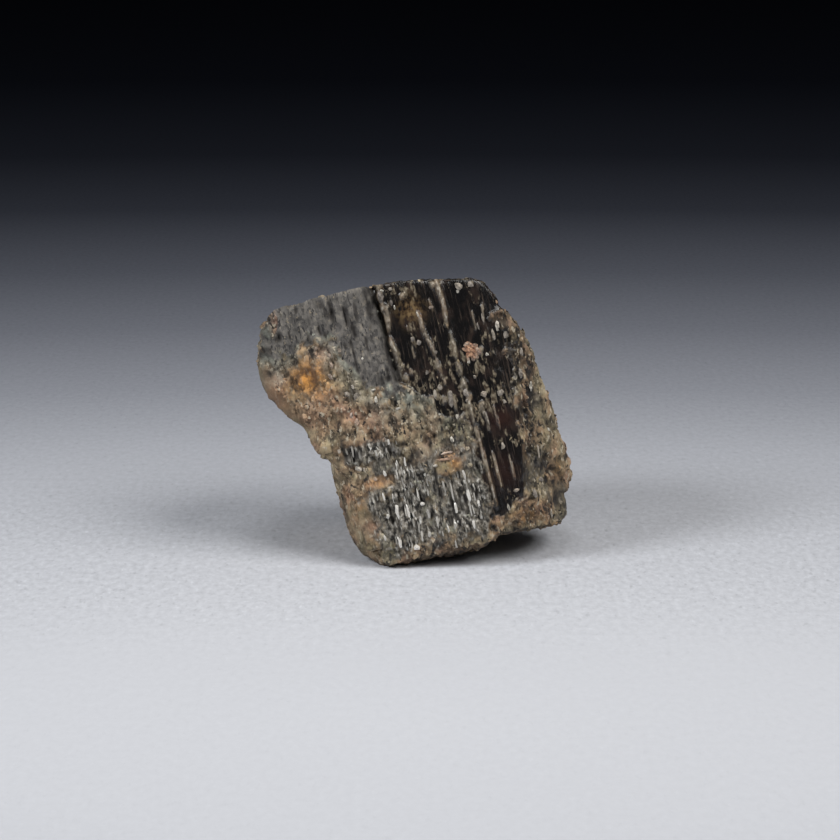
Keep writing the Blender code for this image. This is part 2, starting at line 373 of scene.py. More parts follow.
# Narrow open slits between the blades and in the sheet, sunk in and darkened by painted shade: place
# and half sizes.
SLITS = [
    ((-1.88, 5.68), (0.10, 0.40)),
    ((-1.46, 5.26), (0.23, 0.27)),
    ((-1.18, 5.38), (0.08, 0.27)),
    ((-0.01, 4.97), (0.16, 0.27)),
    ((-0.91, 3.11), (0.08, 0.20)),
    ((-0.48, 3.03), (0.08, 0.18)),
    ((-0.44, 2.10), (0.09, 0.27)),
    ((0.13, 2.46), (0.07, 0.31)),
    ((1.03, 2.66), (0.13, 0.15)),
    ((0.81, 3.25), (0.07, 0.22)),
    ((2.27, 2.15), (0.10, 0.37)),
    ((2.87, 2.42), (0.10, 0.40)),
    ((1.82, 3.47), (0.08, 0.45)),
    ((1.13, 3.67), (0.12, 0.22)),
    ((-0.25, 1.02), (0.08, 0.22)),
    ((1.88, 4.99), (0.09, 0.31)),
    ((0.77, 5.23), (0.21, 0.13)),
    ((1.95, 1.55), (0.07, 0.27)),
    ((1.82, 2.75), (0.07, 0.31)),
    ((2.40, 1.35), (0.08, 0.31)),
    ((2.83, 1.07), (0.07, 0.20)),
    ((0.32, 1.74), (0.08, 0.18)),
    ((-0.23, 1.69), (0.07, 0.27)),
    ((3.40, 2.38), (0.07, 0.27)),
    ((-0.45, 2.51), (0.07, 0.22)),
    ((-1.04, 11.57), (0.10, 0.55)),
    ((0.62, 11.40), (0.13, 0.55)),
    ((-0.27, 10.58), (0.09, 0.35)),
    ((-3.48, 11.05), (0.12, 0.20)),
    ((0.73, 8.18), (0.16, 0.14)),
    ((-4.42, 10.50), (0.20, 0.18)),
    ((-4.30, 9.58), (0.21, 0.14)),
    ((-1.70, 10.95), (0.07, 0.25)),
    ((-0.51, 11.22), (0.05, 0.30)),
]
# Crust that is broken up, with open gaps, and darkened there by painted shade.
BROKEN_PLACES = [
    ((6.60, 6.80), (0.90, 3.60), 1.0),
    ((6.60, 3.00), (0.90, 1.90), 0.7),
    ((5.30, 0.90), (1.60, 0.50), 0.6),
    ((-3.20, 9.85), (0.65, 0.45), 0.60),
    ((0.80, 4.45), (0.60, 0.45), 0.50),
    ((1.90, 6.40), (0.60, 0.40), 0.35),
    ((0.00, 6.15), (1.10, 0.50), 0.45),
    ((-0.80, 5.30), (1.30, 0.50), 0.25),
    ((1.20, 5.20), (1.40, 0.70), 0.15),
    ((3.00, 5.40), (0.80, 0.80), 0.8),
    ((1.10, 0.60), (1.80, 0.40), 0.5),
]
# Crust that lies over the splintered part.
SOILED_PLACES = [
    ((2.45, 3.95), (0.75, 0.60), 1.0),
    ((-0.55, 3.85), (0.85, 0.36), 1.0),
    ((3.30, 3.20), (0.50, 0.60), 0.55),
    ((0.75, 4.45), (0.50, 0.45), 0.80),
]
# Paler crust.
PALE_PLACES = [
    ((-0.95, 7.92), (0.40, 0.35), 1.0),
    ((-1.45, 9.60), (0.30, 0.45), 0.6),
    ((4.70, 0.75), (0.40, 0.25), 0.5),
    ((6.50, 1.50), (0.12, 0.45), 0.6),
]
# Pockets where chunks have fallen out of the crust, sunk in and darkened by painted shade.
DARK_POCKETS = [
    ((-1.66, 5.45), (0.42, 0.42), 1.1),
    ((0.10, 5.05), (0.40, 0.36), 1.0),
    ((1.15, 4.70), (0.30, 0.35), 0.7),
    ((6.70, 3.38), (0.13, 0.33), 1.0),
    ((6.10, 3.74), (0.11, 0.27), 0.8),
    ((6.85, 2.60), (0.18, 0.18), 1.0),
    ((6.96, 1.47), (0.20, 0.45), 1.2),
    ((7.18, 1.45), (0.24, 0.34), 1.2),
    ((5.71, 2.44), (0.13, 0.27), 0.9),
    ((6.36, 4.27), (0.18, 0.20), 0.8),
    ((6.35, 1.11), (0.11, 0.27), 0.9),
    ((5.96, 0.58), (0.16, 0.09), 0.9),
    ((6.24, 4.70), (0.13, 0.18), 0.8),
    ((7.65, 2.44), (0.13, 0.31), 0.8),
    ((7.36, 4.49), (0.13, 0.27), 0.7),
    ((6.20, 8.45), (0.18, 0.31), 0.8),
    ((6.44, 7.72), (0.13, 0.31), 0.7),
    ((6.79, 7.28), (0.11, 0.27), 0.7),
    ((6.86, 5.82), (0.13, 0.31), 0.7),
    ((6.86, 1.12), (0.20, 0.34), 1.3),
    ((0.70, 0.30), (0.70, 0.14), 0.35),
]
# Single places of the front: crust over the sheet's outer corner, crust that isn't ashen, a row of
# splinters above the others, and spots of crust under the top edge.
SHEET_CORNER = ((-3.85, 11.9), (0.50, 1.00))
WARM_GAP = ((-0.95, 7.90), (0.80, 0.65))
UPPER_SPLINTERS = ((-0.70, 5.18), (1.40, 0.54))
TOP_SPOTS = ((1.60, 11.6), (0.35, 0.60))
# Swellings and dents of the whole block: place, half sizes and rise.
BULGES_AND_DENTS = [
    ((-2.90, 5.90), (0.70, 0.45), 0.14),
    ((-3.45, 6.95), (0.70, 0.45), -0.24),
    ((6.40, 10.30), (0.32, 0.32), -0.20),
]

block, crystal_quads = block_grid((ACROSS_SPAN, DEEP_SPAN, ALONG_SPAN), GRID)
grown = press_to_faces(block)

crystal_mesh = bpy.data.meshes.new("crystal_body")
crystal_mesh.from_pydata(grown.tolist(), [], crystal_quads.tolist())
normals = np.empty(grown.size)
crystal_mesh.vertex_normals.foreach_get("vector", normals)
normals = normals.reshape(-1, 3)

# Which side of the crystal each point is on, and whether it rests on the card, from 0 to 1.
FACING = (0.55, 0.80)
across, deep, along = grown.T
front = step(-normals[:, 1], *FACING)
back = step(normals[:, 1], *FACING)
flanks = (1.0 - front) * (1.0 - back)
sides = step(np.abs(normals[:, 0]), 0.45, 0.75)
ends = step(np.abs(normals[:, 2]), 0.45, 0.75)
downward = -to_world(normals)[:, 2]
resting = step(downward, 0.98, 0.998) * step(to_world(grown - HEART)[:, 2], -5.55, -5.64)

# What covers it: the grey sheet, ashen crust, silvery splinters, bare crystal or crust. A cover's
# edge lies between the two values of its step, in mm, and noise makes it ragged.
ragged = 0.30 * cloud(grown, 0.55, 1) + 0.22 * cloud(grown, 0.25, 2) + 0.12 * cloud(grown, 0.12, 4)
wander = 0.35 * cloud(grown, 0.95, 7)
fray = 0.26 * cloud(grown, 0.5, 3) + 0.12 * cloud(grown, 0.2, 8)
sheet_edge = np.interp(along, *SHEET_EDGE)
crust_top = np.interp(across, *CRUST_TOP)
crust_right = np.interp(along, *CRUST_RIGHT)
on_sheet = step(across + 1.3 * fray * step(along, 8.3, 7.5), sheet_edge + 0.10, sheet_edge - 0.04)

grey = front * on_sheet * step(along + 1.5 * ragged, crust_top - 0.22, crust_top + 0.22)
grey *= step(across + ragged, -4.6, -4.0) * step(across, sheet_edge - 0.02, sheet_edge - 0.12)
grey *= 1.0 - step(blot(across, along, *SHEET_CORNER) + 0.6 * ragged, 0.35, 0.55)

ash = front * on_sheet * step(along + ragged, crust_top - 2.4, crust_top - 0.4)
ash *= 1.0 - blot(across, along, *WARM_GAP)

silver = front * on_sheet * step(along + 1.3 * ragged, 5.0, 4.2)
silver *= step(across + 1.4 * ragged + wander, -1.5, -0.9)
upper_splinters = step(blot(across, along, *UPPER_SPLINTERS) + 0.8 * ragged, 0.35, 0.65)
silver = np.maximum(silver, front * upper_splinters) * step(along + 1.2 * ragged, 0.45, 0.95)
silver *= 1.0 - 0.9 * step(blots(across, along, SOILED_PLACES) + 0.4 * ragged, 0.30, 0.60)

bare_front = front * (1.0 - on_sheet)
bare_front *= step(across + 1.2 * ragged + wander, crust_right + 0.10, crust_right - 0.10)
bare_back = back * step(across + 1.5 * ragged, -1.2, -0.4)
bare_back *= step(cloud(grown, (1.6, 1.6, 4.0), 5), -0.55, -0.25)
bare_side = sides * step(across, 0.0, 1.0) * step(cloud(grown, (1.0, 1.0, 3.0), 6), 0.05, 0.35)
bare_side *= (1.0 - ends) * step(deep + ragged, 1.6, 2.6)
bare_corner = flanks * step(across, 4.6, 5.2) * step(along + ragged, 9.4, 10.2)
bare_corner *= step(deep + 2.0 * ragged + 0.5 * wander, 3.0, 2.0) * (1.0 - ends)
bare_top = flanks * step(across, 0.9, 1.5) * step(along, 10.6, 11.0)
bare_top *= step(deep + 2.0 * ragged, 1.9, 0.9)
bare = np.maximum.reduce([bare_front, bare_back, bare_side, bare_corner, bare_top])
bare = np.clip(bare, 0.0, 1.0)
crust = np.clip(1.0 - np.maximum.reduce([grey, silver * 0.85, bare]), 0.0, 1.0)

# Where the crust of the left bevel lies smooth.
calm = step(across + ragged, -0.5 - 0.35 * along, -1.3 - 0.35 * along)
calm *= step(along, 10.6, 9.6) * step(along, 3.6, 5.0)
calm = np.maximum(calm, 0.6 * step(across + ragged, -0.9, -1.7) * step(along, 3.8, 2.8))

# The grain of each form: waves along the striations, and pebbles of several sizes, in mm.
CHUNK_SIZES, GRAIN_SIZES = (0.58, 0.58, 0.62), (0.23, 0.23, 0.27)
BLADE_SIZES, SPOT_SIZES = (0.18, 0.18, 0.95), (0.34, 0.34, 0.46)
fine = streaks(grown, 0.17, 2.8, 11)
coarse = streaks(grown, 0.85, 7.0, 12)
steps = terraces(grown, 0.80, 5.0, 3, 14)
broad = cloud(grown, 1.1, 41)
rough = cloud(grown, 0.16, 42)
bent = bend(grown, 0.24, 0.07, 15)
_, chunk_rim, chunk_tone, chunk_tilt = pebbles(bent, CHUNK_SIZES, 21)
_, grain_rim, grain_tone, grain_tilt = pebbles(bent, GRAIN_SIZES, 31)
_, blade_rim, blade_tone, blade_tilt = pebbles(bent, BLADE_SIZES, 61)
spot_near, _, spot_tone, _ = pebbles(bent, SPOT_SIZES, 71)
grain_lift = (grain_tone - 0.5) * step(grain_rim, 0.0, 0.4)

# Gaps between the chunks of the crust, and spots of crust on the bare crystal.
broken = np.where(front > 0.5, blots(across, along, BROKEN_PLACES), 0.45 + 0.45 * broad)
# The gaps are sunk into the crust and darkened by painted shade.
gap = step(chunk_rim, 0.30, 0.06) * step(cloud(grown, 0.42, 44), 0.12, 0.42)
gap = np.maximum(gap, step(chunk_tone, 0.06, 0.03) * step(chunk_rim, 0.05, 0.45))
gap *= (1.0 - 0.8 * calm) * (0.35 + 0.65 * np.clip(broken, 0.0, 1.0))
crowd = step(along, 9.6, 8.2) * step(along, 4.6, 6.2)
bare_place = blots(across, along, BARE_PLACES)
spot_share = np.clip(0.05 + 0.27 * crowd - 0.40 * bare_place + 0.14 * broad, 0.0, 1.0)
spot_share += (0.5 * blot(across, along, *TOP_SPOTS) + 0.14 * step(along, 11.2, 11.8)) * front
spots = step(spot_tone, 1.0 - spot_share, 1.02 - spot_share) * step(spot_near, 0.50, 0.72)
spots *= bare * (1.0 - grey)

# How far each form rises from the grown faces or sinks into them, in mm.
STRIATION_RISE, HAIR_RISE, TERRACE_RISE = 0.050, 0.015, 0.05
SPLINTER_RISE, SPLINTER_TILT = 0.22, 0.06
CHUNK_RISE, CHUNK_TILT = 0.17, 0.050
GRAIN_RISE, GRAIN_TILT = 0.10, 0.022
SPOT_RISE, FLANK_ROUGHNESS, CRUST_ROUGHNESS = 0.07, 0.06, 0.02
CRUST_SWELL, GAP_DEPTH = 0.06, 0.10
SLIT_DEPTH, POCKET_DEPTH, PIT_DEPTH = 0.09, 0.17, 0.050
SHEET_GRAIN_RISE, CREST_GRAIN_RISE = 0.035, 0.20
striated = np.maximum.reduce([front, back, sides]) * (1.0 - 0.6 * ends)
relief = STRIATION_RISE * coarse + HAIR_RISE * fine + TERRACE_RISE * steps
relief *= striated * (1.0 - grey) * (1.0 - 0.5 * crust)
splinters = SPLINTER_RISE * (blade_tone - 0.5) * step(blade_rim, 0.0, 0.4) + SPLINTER_TILT * blade_tilt
relief += silver * splinters
relief += SPOT_RISE * spots + FLANK_ROUGHNESS * rough * bare * flanks

lumps = CHUNK_RISE * (chunk_tone - 0.5) * step(chunk_rim, 0.0, 0.30) + CHUNK_TILT * chunk_tilt
lumps += GRAIN_RISE * grain_lift + GRAIN_TILT * grain_tilt + CRUST_ROUGHNESS * rough
rusty = blot(across, along, *OCHRE_STAINS[0][:2]) * front
settled = 1.0 - np.maximum(0.75 * calm, 0.7 * rusty)
relief += crust * (lumps * settled + CRUST_SWELL * broad - GAP_DEPTH * gap * settled)

slits = blots(across + 0.05 * rough, along, SLITS) * front
pockets = blots(across + 0.06 * rough, along + 0.06 * rough, DARK_POCKETS)
pockets = np.clip(pockets, 0.0, 1.1) * (1.0 - back)
pits = step(cloud(grown, (0.16, 0.16, 0.50), 43), 0.34, 0.66) * grey
relief -= SLIT_DEPTH * np.minimum(1.3 * slits, 1.0) + PIT_DEPTH * pits
relief -= POCKET_DEPTH * pockets * step(across, -0.5, 0.5)

sheet_grain = 0.030 * broad + 0.012 * fine + 0.022 * rough + GRAIN_TILT * grain_tilt + 0.02 * coarse
sheet_grain += SHEET_GRAIN_RISE * grain_lift * step(cloud(grown, 0.8, 46), -0.2, 0.5)
relief += grey * sheet_grain
relief += front * on_sheet * (SHEET_RISE[0] + (SHEET_RISE[1] - SHEET_RISE[0]) * step(along, 7.3, 8.7))

seam_place = sheet_edge + 0.07 * wobble(grown, 0.6, 45)
seam_width = SEAM_WIDTH * (1.15 + 0.5 * wobble(grown, 0.9, 47))
seam = np.exp(-(((across - seam_place) / seam_width) ** 2)) * step(along, 7.7, 8.2) * front
relief -= SEAM_DEPTH * seam

crest = np.zeros(len(grown))
for upper, lower, low_end, high_end, rise, width in RIDGES:
    share = np.clip((along - low_end) / (high_end - low_end), 0.0, 1.0)
    seed = 51 + int(10 * lower)
    place = lower + (upper - lower) * share + 0.06 * wobble(grown, 0.9, seed)
    length = step(along, low_end, low_end + 0.4) * step(along, high_end, high_end - 0.3)
    length *= np.clip(0.68 + 0.62 * wobble(grown, 0.36, seed + 1), 0.0, 1.1)
    ridge = length * np.exp(-(((across - place) / width) ** 2)) * front
    crest = np.maximum(crest, ridge)
    relief += rise * ridge
relief += CREST_GRAIN_RISE * crest * grain_lift
for place, half_size, rise in BULGES_AND_DENTS:
    relief += rise * blot(across, along, place, half_size)
relief *= 1.0 - resting

points = grown + normals * relief[:, None]
crystal_mesh.vertices.foreach_set("co", stand(points).astype(np.float32).ravel())
crystal_mesh.polygons.foreach_set("use_smooth", np.ones(len(crystal_mesh.polygons), bool))
crystal_mesh.update()


def set_mask(mesh, name, values):
    """Keeps one value a vertex, which the material reads by name."""
    mesh.attributes.new(name, "FLOAT", "POINT").data.foreach_set("value", values.astype(np.float32))


def set_place(mesh, name, places):
    """Keeps one place a vertex, which the material reads by name."""
    kept = mesh.attributes.new(name, "FLOAT_VECTOR", "POINT")
    kept.data.foreach_set("vector", places.astype(np.float32).ravel())


# The masks that colour it.
cover = 0.4 * coarse + 0.4 * fine + 0.6 * cloud(points, (0.35, 0.35, 0.6), 62)
cover += 0.35 * crowd - 1.2 * bare_place + 0.5 * step(along, 11.1, 11.8)
film = bare * np.clip(0.30 + 0.5 * crowd + 0.4 * cover - 0.5 * bare_place, 0.0, 1.0)
tone = np.clip(0.55 * chunk_tone + 0.45 * grain_tone, 0.0, 1.0)
clustered = blots(across, along, BLADE_CLUSTERS)
on_crest = step(crest, 0.20, 0.55)
pale = np.clip(np.maximum(on_crest, 0.8 * spots), 0.0, 1.0)
masks = {
    "tan": np.clip(np.maximum.reduce([crust, silver, spots, on_crest * bare]), 0.0, 1.0),
    "pale": np.maximum(pale, 0.8 * front * blots(across, along, PALE_PLACES)),
    "tone": tone,
    "grey": grey,
    "silver": silver,
    "clustered": clustered,
    "calm": calm,
    "film": film,
}

# Stains: listed on the front, and soft clouds elsewhere, of which these are the sizes and how much
# of a cloud is left out.
STAIN_CLOUDS = {"ochre": (1.3, 0.42), "rose": (1.0, 0.35), "olive": (1.2, 0.30), "ash": (1.6, 0.15)}
ash_stains = blots(across, along, ASH_STAINS) * front
stains = {
    "ochre": blots(across, along, OCHRE_STAINS) * front,
    "rose": blots(across, along, ROSE_STAINS) * front,
    "olive": blots(across, along, OLIVE_STAINS) * front,
    "ash": np.maximum.reduce([ash, ash_stains, 0.75 * silver]),
    "broken": broken,
}
for name, (size, low) in STAIN_CLOUDS.items():
    patches = step(cloud(points, size, 80 + len(name)), low, low + 0.4)
    patches *= step(deep + normals[:, 1], 0.6, 1.6)
    stains[name] = np.maximum(stains[name], (1.0 - front) * 0.5 * patches)

# Painted shade: colour darkened where light hardly reaches, in the seam, slits, pits, crust gaps and
# pockets, on faces turned down under the crystal, and in a dark line along the upper rim.
rim_shade = step(normals[:, 2], 0.18, 0.32) * step(normals[:, 2], 0.80, 0.62) * (1.0 - back)
underside_shade = step(downward, 0.30, 0.75) * (1.0 - back) * step(across, -0.6, 0.4)
masks["hollow"] = np.clip(np.maximum.reduce([
    2.0 * seam,
    1.5 * slits,
    0.62 * underside_shade,
    0.8 * pits,
    0.7 * crust * gap,
    pockets * (1.0 - 0.4 * grain_tone),
    0.5 * rim_shade * step(broad, -0.3, 0.1),
]), 0.0, 1.0)
for name, values in (masks | stains).items():
    set_mask(crystal_mesh, name, values)
set_place(crystal_mesh, "grown", grown)

crystal = bpy.data.objects.new("crystal_body", crystal_mesh)
bpy.context.scene.collection.objects.link(crystal)


class Shading:
    """Adds nodes to a tree. An input is a number, a colour or another node's output."""

    def __init__(self, tree):
        self.tree = tree

    def add(self, kind, inputs, **settings):
        node = self.tree.nodes.new(kind)
        for name, value in settings.items():
            setattr(node, name, value)
        for name, value in inputs.items():
            if isinstance(value, bpy.types.NodeSocket):
                self.tree.links.new(value, node.inputs[name])
            else:
                node.inputs[name].default_value = value
        return node

    def mask(self, name):
        return self.add("ShaderNodeAttribute", {}, attribute_name=name).outputs["Fac"]

    def place(self, name):
        return self.add("ShaderNodeAttribute", {}, attribute_name=name).outputs["Vector"]

    def mix(self, amount, first, second):
        return self.add("ShaderNodeMix", {0: amount, 6: first, 7: second}, data_type="RGBA").outputs[2]

    def blend(self, amount, first, second):
        inputs = {"Factor": amount, "A": first, "B": second}
        return self.add("ShaderNodeMix", inputs).outputs["Result"]

    def sum(self, *parts):
        """Adds up (value, share) pairs."""
        total = 0.0
        for value, share in parts:
            inputs = {0: value, 1: share, 2: total}
            total = self.add("ShaderNodeMath", inputs, operation="MULTIPLY_ADD").outputs[0]
        return total

    def band(self, value, low, high, start=0.0, end=1.0):
        """start at low, end at high, smooth between; low may be the larger."""
        inputs = {"Value": value, "From Min": low, "From Max": high, "To Min": start, "To Max": end}
        return self.add("ShaderNodeMapRange", inputs, interpolation_type="SMOOTHSTEP").outputs["Result"]

    def times(self, first, second):
        return self.add("ShaderNodeMath", {0: first, 1: second}, operation="MULTIPLY").outputs[0]

    def larger(self, first, second):
        return self.add("ShaderNodeMath", {0: first, 1: second}, operation="MAXIMUM").outputs[0]

    def shade(self, colour, amount):
        return self.add("ShaderNodeVectorMath", {0: colour, "Scale": amount}, operation="SCALE").outputs[0]

    def shift(self, place, amount):
        return self.add("ShaderNodeVectorMath", {0: place, 1: amount}, operation="ADD").outputs[0]

    def sized(self, place, sizes, start=0.0):
        inputs = {"Vector": place, "Location": (start,) * 3, "Scale": [1.0 / size for size in sizes]}
        return self.add("ShaderNodeMapping", inputs).outputs["Vector"]

    def noise(self, place, sizes, start=0.0, detail=2.0):
        """Noise of the given sizes; each start gives another pattern."""
        inputs = {"Vector": self.sized(place, sizes, start), "Scale": 1.0, "Detail": detail, "Roughness": 0.6}
        return self.add("ShaderNodeTexNoise", inputs).outputs["Fac"]

    def drift(self, vector, scale):
        """Three noises at once, to move a place by."""
        inputs = {"Vector": vector, "Scale": scale, "Detail": 2.0}
        return self.add("ShaderNodeTexNoise", inputs).outputs["Color"]

    def chips(self, place, sizes, start=0.0):
        """A random value for each ragged chip: cells of noise-bent space."""
        scaled = self.sized(place, sizes, start)
        bent = self.shift(self.drift(scaled, 1.3), scaled)
        tints = self.add("ShaderNodeTexVoronoi", {"Vector": bent, "Scale": 1.0}).outputs["Color"]
        return self.add("ShaderNodeSeparateColor", {"Color": tints}).outputs["Red"]

    def ramp(self, value, stops):
        """Colours along a value. The stops are (value, colour) pairs, in order."""
        node = self.add("ShaderNodeValToRGB", {"Fac": value})
        elements = node.color_ramp.elements
        elements[0].position, elements[0].color = stops[0][0], (*stops[0][1], 1.0)
        elements[1].position, elements[1].color = stops[-1][0], (*stops[-1][1], 1.0)
        for position, colour in stops[1:-1]:
            elements.new(position).color = (*colour, 1.0)
        return node.outputs["Color"]

    def bump(self, height, strength, distance):
        inputs = {"Height": height, "Strength": strength, "Distance": distance}
        return self.add("ShaderNodeBump", inputs).outputs["Normal"]

    def feed(self, shader, **values):
        """Links outputs to a shader's inputs, named with _ for a space."""
        for name, value in values.items():
            self.tree.links.new(value, shader.inputs[name.replace("_", " ")])


def new_finish(piece, name):
    """Gives a piece a material, and returns its shader and its nodes."""
    material = bpy.data.materials.new(name)
    material.use_nodes = True
    piece.data.materials.append(material)
    return material.node_tree.nodes["Principled BSDF"], Shading(material.node_tree)


def shader_group(name, inputs, outputs, build):
    """A node group with named inputs and outputs. build gets its nodes and inputs, and returns its
    outputs by name."""
    group = bpy.data.node_groups.new(name, "ShaderNodeTree")
    for label, kind in inputs.items():
        group.interface.new_socket(label, in_out="INPUT", socket_type=kind)
    for label, kind in outputs.items():
        group.interface.new_socket(label, in_out="OUTPUT", socket_type=kind)
    entry = group.nodes.new("NodeGroupInput")
    leave = group.nodes.new("NodeGroupOutput")
    made = build(Shading(group), {label: entry.outputs[label] for label in inputs})
    for label in outputs:
        group.links.new(made[label], leave.inputs[label])
    return group


# The granular crust, which the body and the loose crumbs share.
CRUST_HUES = [
    (0.34, (0.228, 0.146, 0.096)),
    (0.44, (0.272, 0.184, 0.108)),
    (0.52, (0.275, 0.206, 0.126)),
    (0.60, (0.235, 0.193, 0.117)),
    (0.68, (0.290, 0.244, 0.176)),
]
ASH_GREY = (0.165, 0.170, 0.142, 1.0)
ROSE = (0.40, 0.205, 0.135, 1.0)
OLIVE = (0.170, 0.150, 0.075, 1.0)
DARK_OCHRE, BRIGHT_OCHRE = (0.20, 0.086, 0.024, 1.0), (0.64, 0.29, 0.064, 1.0)
CREAM = (0.60, 0.52, 0.39, 1.0)
# Near-black for painted shade, in hollows and in the crust's nooks.
PAINTED_SHADE_BLACK = (0.016, 0.012, 0.010, 1.0)
STAIN_STRENGTH = 0.8
CALM_LIGHT = 0.72


def granular_crust(nodes, given):
    """A mottle of hues, darkened and lightened by grit, with cream specks, painted shade in nooks, and
    stains.
    """
    place = given["Place"]
    ochre, broken = given["Ochre"], given["Broken"]
    dust = nodes.noise(place, (0.42, 0.42, 0.56), 11.0, 4.0)
    grit = nodes.noise(place, (0.14, 0.14, 0.20), 20.0, 2.0)
    specks = nodes.noise(place, (0.17, 0.17, 0.30), 21.0, 2.0)
    chip = nodes.chips(place, (0.34, 0.34, 0.52))
    lumps = nodes.noise(place, (0.36, 0.36, 0.58), 27.0, 2.0)
    lumpy = nodes.times(broken, nodes.sum((lumps, 1.0), (1.0, -0.5)))
    nooks = nodes.noise(place, (0.22, 0.22, 0.40), 16.0, 3.0)
    nooks = nodes.sum((nooks, 1.0), (lumpy, 0.90), (broken, -0.065))

    # Hue, and the stains over it.
    colour = nodes.ramp(nodes.noise(place, (1.1, 1.1, 1.3), 3.0, 3.0), CRUST_HUES)
    colour = nodes.mix(nodes.times(given["Ash"], nodes.band(dust, 0.35, 0.55)), colour, ASH_GREY)
    colour = nodes.mix(nodes.times(given["Rose"], STAIN_STRENGTH), colour, ROSE)
    colour = nodes.mix(nodes.times(given["Olive"], STAIN_STRENGTH), colour, OLIVE)
    ochre_tone = nodes.band(nodes.noise(place, (0.40, 0.40, 0.45), 5.0, 3.0), 0.41, 0.60)
    colour = nodes.mix(ochre, colour, nodes.mix(ochre_tone, DARK_OCHRE, BRIGHT_OCHRE))

    # Light and dark grains, which calm and rusty crust has fewer of.
    tone = nodes.sum(
        (chip, 0.22), (given["Tone"], 0.16), (dust, 0.52), (grit, 0.38), (lumpy, 1.25),
        (1.0, -0.115), (broken, -0.045))
    lively = nodes.band(given["Calm"], 0.0, 1.0, 1.0, 0.15)
    lively = nodes.times(lively, nodes.band(ochre, 0.0, 0.7, 1.0, 0.55))
    light = nodes.blend(lively, CALM_LIGHT, nodes.band(tone, 0.30, 0.72, 0.26, 2.08))
    # Painted shade: broken crust is darkened as a whole, down to 0.44.
    colour = nodes.shade(colour, nodes.times(light, nodes.band(broken, 0.0, 1.0, 1.0, 0.44)))

    # Cream specks, and painted shade in the nooks.
    speck_share = nodes.times(lively, nodes.band(ochre, 0.0, 0.7, 0.85, 0.3))
    colour = nodes.mix(nodes.times(nodes.band(specks, 0.58, 0.66), speck_share), colour, CREAM)
    nook_share = nodes.times(lively, nodes.band(ochre, 0.0, 0.7, 1.0, 0.25))
    colour = nodes.mix(nodes.times(nodes.band(nooks, 0.415, 0.335), nook_share), colour, PAINTED_SHADE_BLACK)
    height = nodes.sum((chip, 0.5), (grit, 0.5), (specks, 0.9), (nooks, 1.0))
    return {"Colour": colour, "Height": height}


VALUE, VECTOR, TINT = "NodeSocketFloat", "NodeSocketVector", "NodeSocketColor"
crust_masks = ("Tone", "Calm", "Broken", "Ochre", "Rose", "Olive", "Ash")
crust_inputs = {"Place": VECTOR, **{label: VALUE for label in crust_masks}}
crust_group = shader_group("granular crust", crust_inputs, {"Colour": TINT, "Height": VALUE}, granular_crust)


def crust_node(nodes):
    """The granular crust, fed from the piece's own masks."""
    inputs = {"Place": nodes.place("grown"), **{label: nodes.mask(label.lower()) for label in crust_masks}}
    group = nodes.add("ShaderNodeGroup", {}, node_tree=crust_group)
    for label, value in inputs.items():
        nodes.tree.links.new(value, group.inputs[label])
    return group


shader, nodes = new_finish(crystal, "baddeleyite and crust")
place = nodes.place("grown")
clusters = nodes.mask("clustered")

# The crust, and the paler crust on ridges and spots.
PALE_HUES = [
    (0.36, (0.070, 0.054, 0.038)),
    (0.45, (0.205, 0.171, 0.133)),
    (0.54, (0.332, 0.290, 0.235)),
    (0.64, (0.740, 0.690, 0.590)),
]
PALE_STRENGTH = 0.75
crust_part = crust_node(nodes)
pale_colour = nodes.ramp(nodes.noise(place, (0.15, 0.15, 0.28), 6.0, 3.0), PALE_HUES)
pale_share = nodes.times(nodes.mask("pale"), PALE_STRENGTH)
tan_colour = nodes.mix(pale_share, crust_part.outputs["Colour"], pale_colour)

# Bare crystal: pitch black, with brown lines and hairs, thin films of dust, and rose and rusty places.
PITCH, BROWN_BLACK = (0.006, 0.005, 0.005, 1.0), (0.038, 0.025, 0.020, 1.0)
LINE_BROWN, HAIR_BROWN = (0.062, 0.046, 0.036, 1.0), (0.095, 0.075, 0.055, 1.0)
DARK_FILM, PALE_FILM = (0.060, 0.040, 0.026, 1.0), (0.33, 0.28, 0.20, 1.0)
WINE = (0.062, 0.026, 0.019, 1.0)
DARK_RUST, PALE_RUST = (0.090, 0.052, 0.024, 1.0), (0.30, 0.20, 0.095, 1.0)
lines = nodes.noise(place, (0.10, 0.10, 1.6), 1.0, 3.0)
hairs = nodes.noise(place, (0.05, 0.05, 0.8), 2.0, 2.0)
browning = nodes.band(nodes.noise(place, (0.7, 0.7, 1.1), 4.0), 0.48, 0.70)
bare_colour = nodes.mix(browning, PITCH, BROWN_BLACK)
bare_colour = nodes.mix(nodes.band(lines, 0.55, 0.68), bare_colour, LINE_BROWN)
bare_colour = nodes.mix(nodes.band(hairs, 0.64, 0.74), bare_colour, HAIR_BROWN)
flakes = nodes.noise(place, (0.26, 0.26, 0.58), 12.0, 3.0)
sheets = nodes.noise(place, (0.60, 0.60, 1.00), 17.0, 3.0)
filmed = nodes.sum((flakes, 0.85), (sheets, 0.35), (nodes.mask("film"), 0.135))
film_share = nodes.times(nodes.band(filmed, 0.69, 0.78), nodes.band(nodes.mask("film"), 0.0, 0.25))
film_tone = nodes.band(nodes.noise(place, (0.12, 0.12, 0.20), 13.0, 3.0), 0.36, 0.64)
bare_colour = nodes.mix(film_share, bare_colour, nodes.mix(film_tone, DARK_FILM, PALE_FILM))
bare_colour = nodes.mix(nodes.times(nodes.mask("rose"), STAIN_STRENGTH), bare_colour, WINE)
rust = nodes.noise(place, (0.22, 0.22, 0.34), 19.0, 3.0)
rust_colour = nodes.mix(nodes.band(rust, 0.46, 0.60), DARK_RUST, PALE_RUST)
rust_share = nodes.times(nodes.mask("ochre"), nodes.band(rust, 0.38, 0.48))
bare_colour = nodes.mix(rust_share, bare_colour, rust_colour)
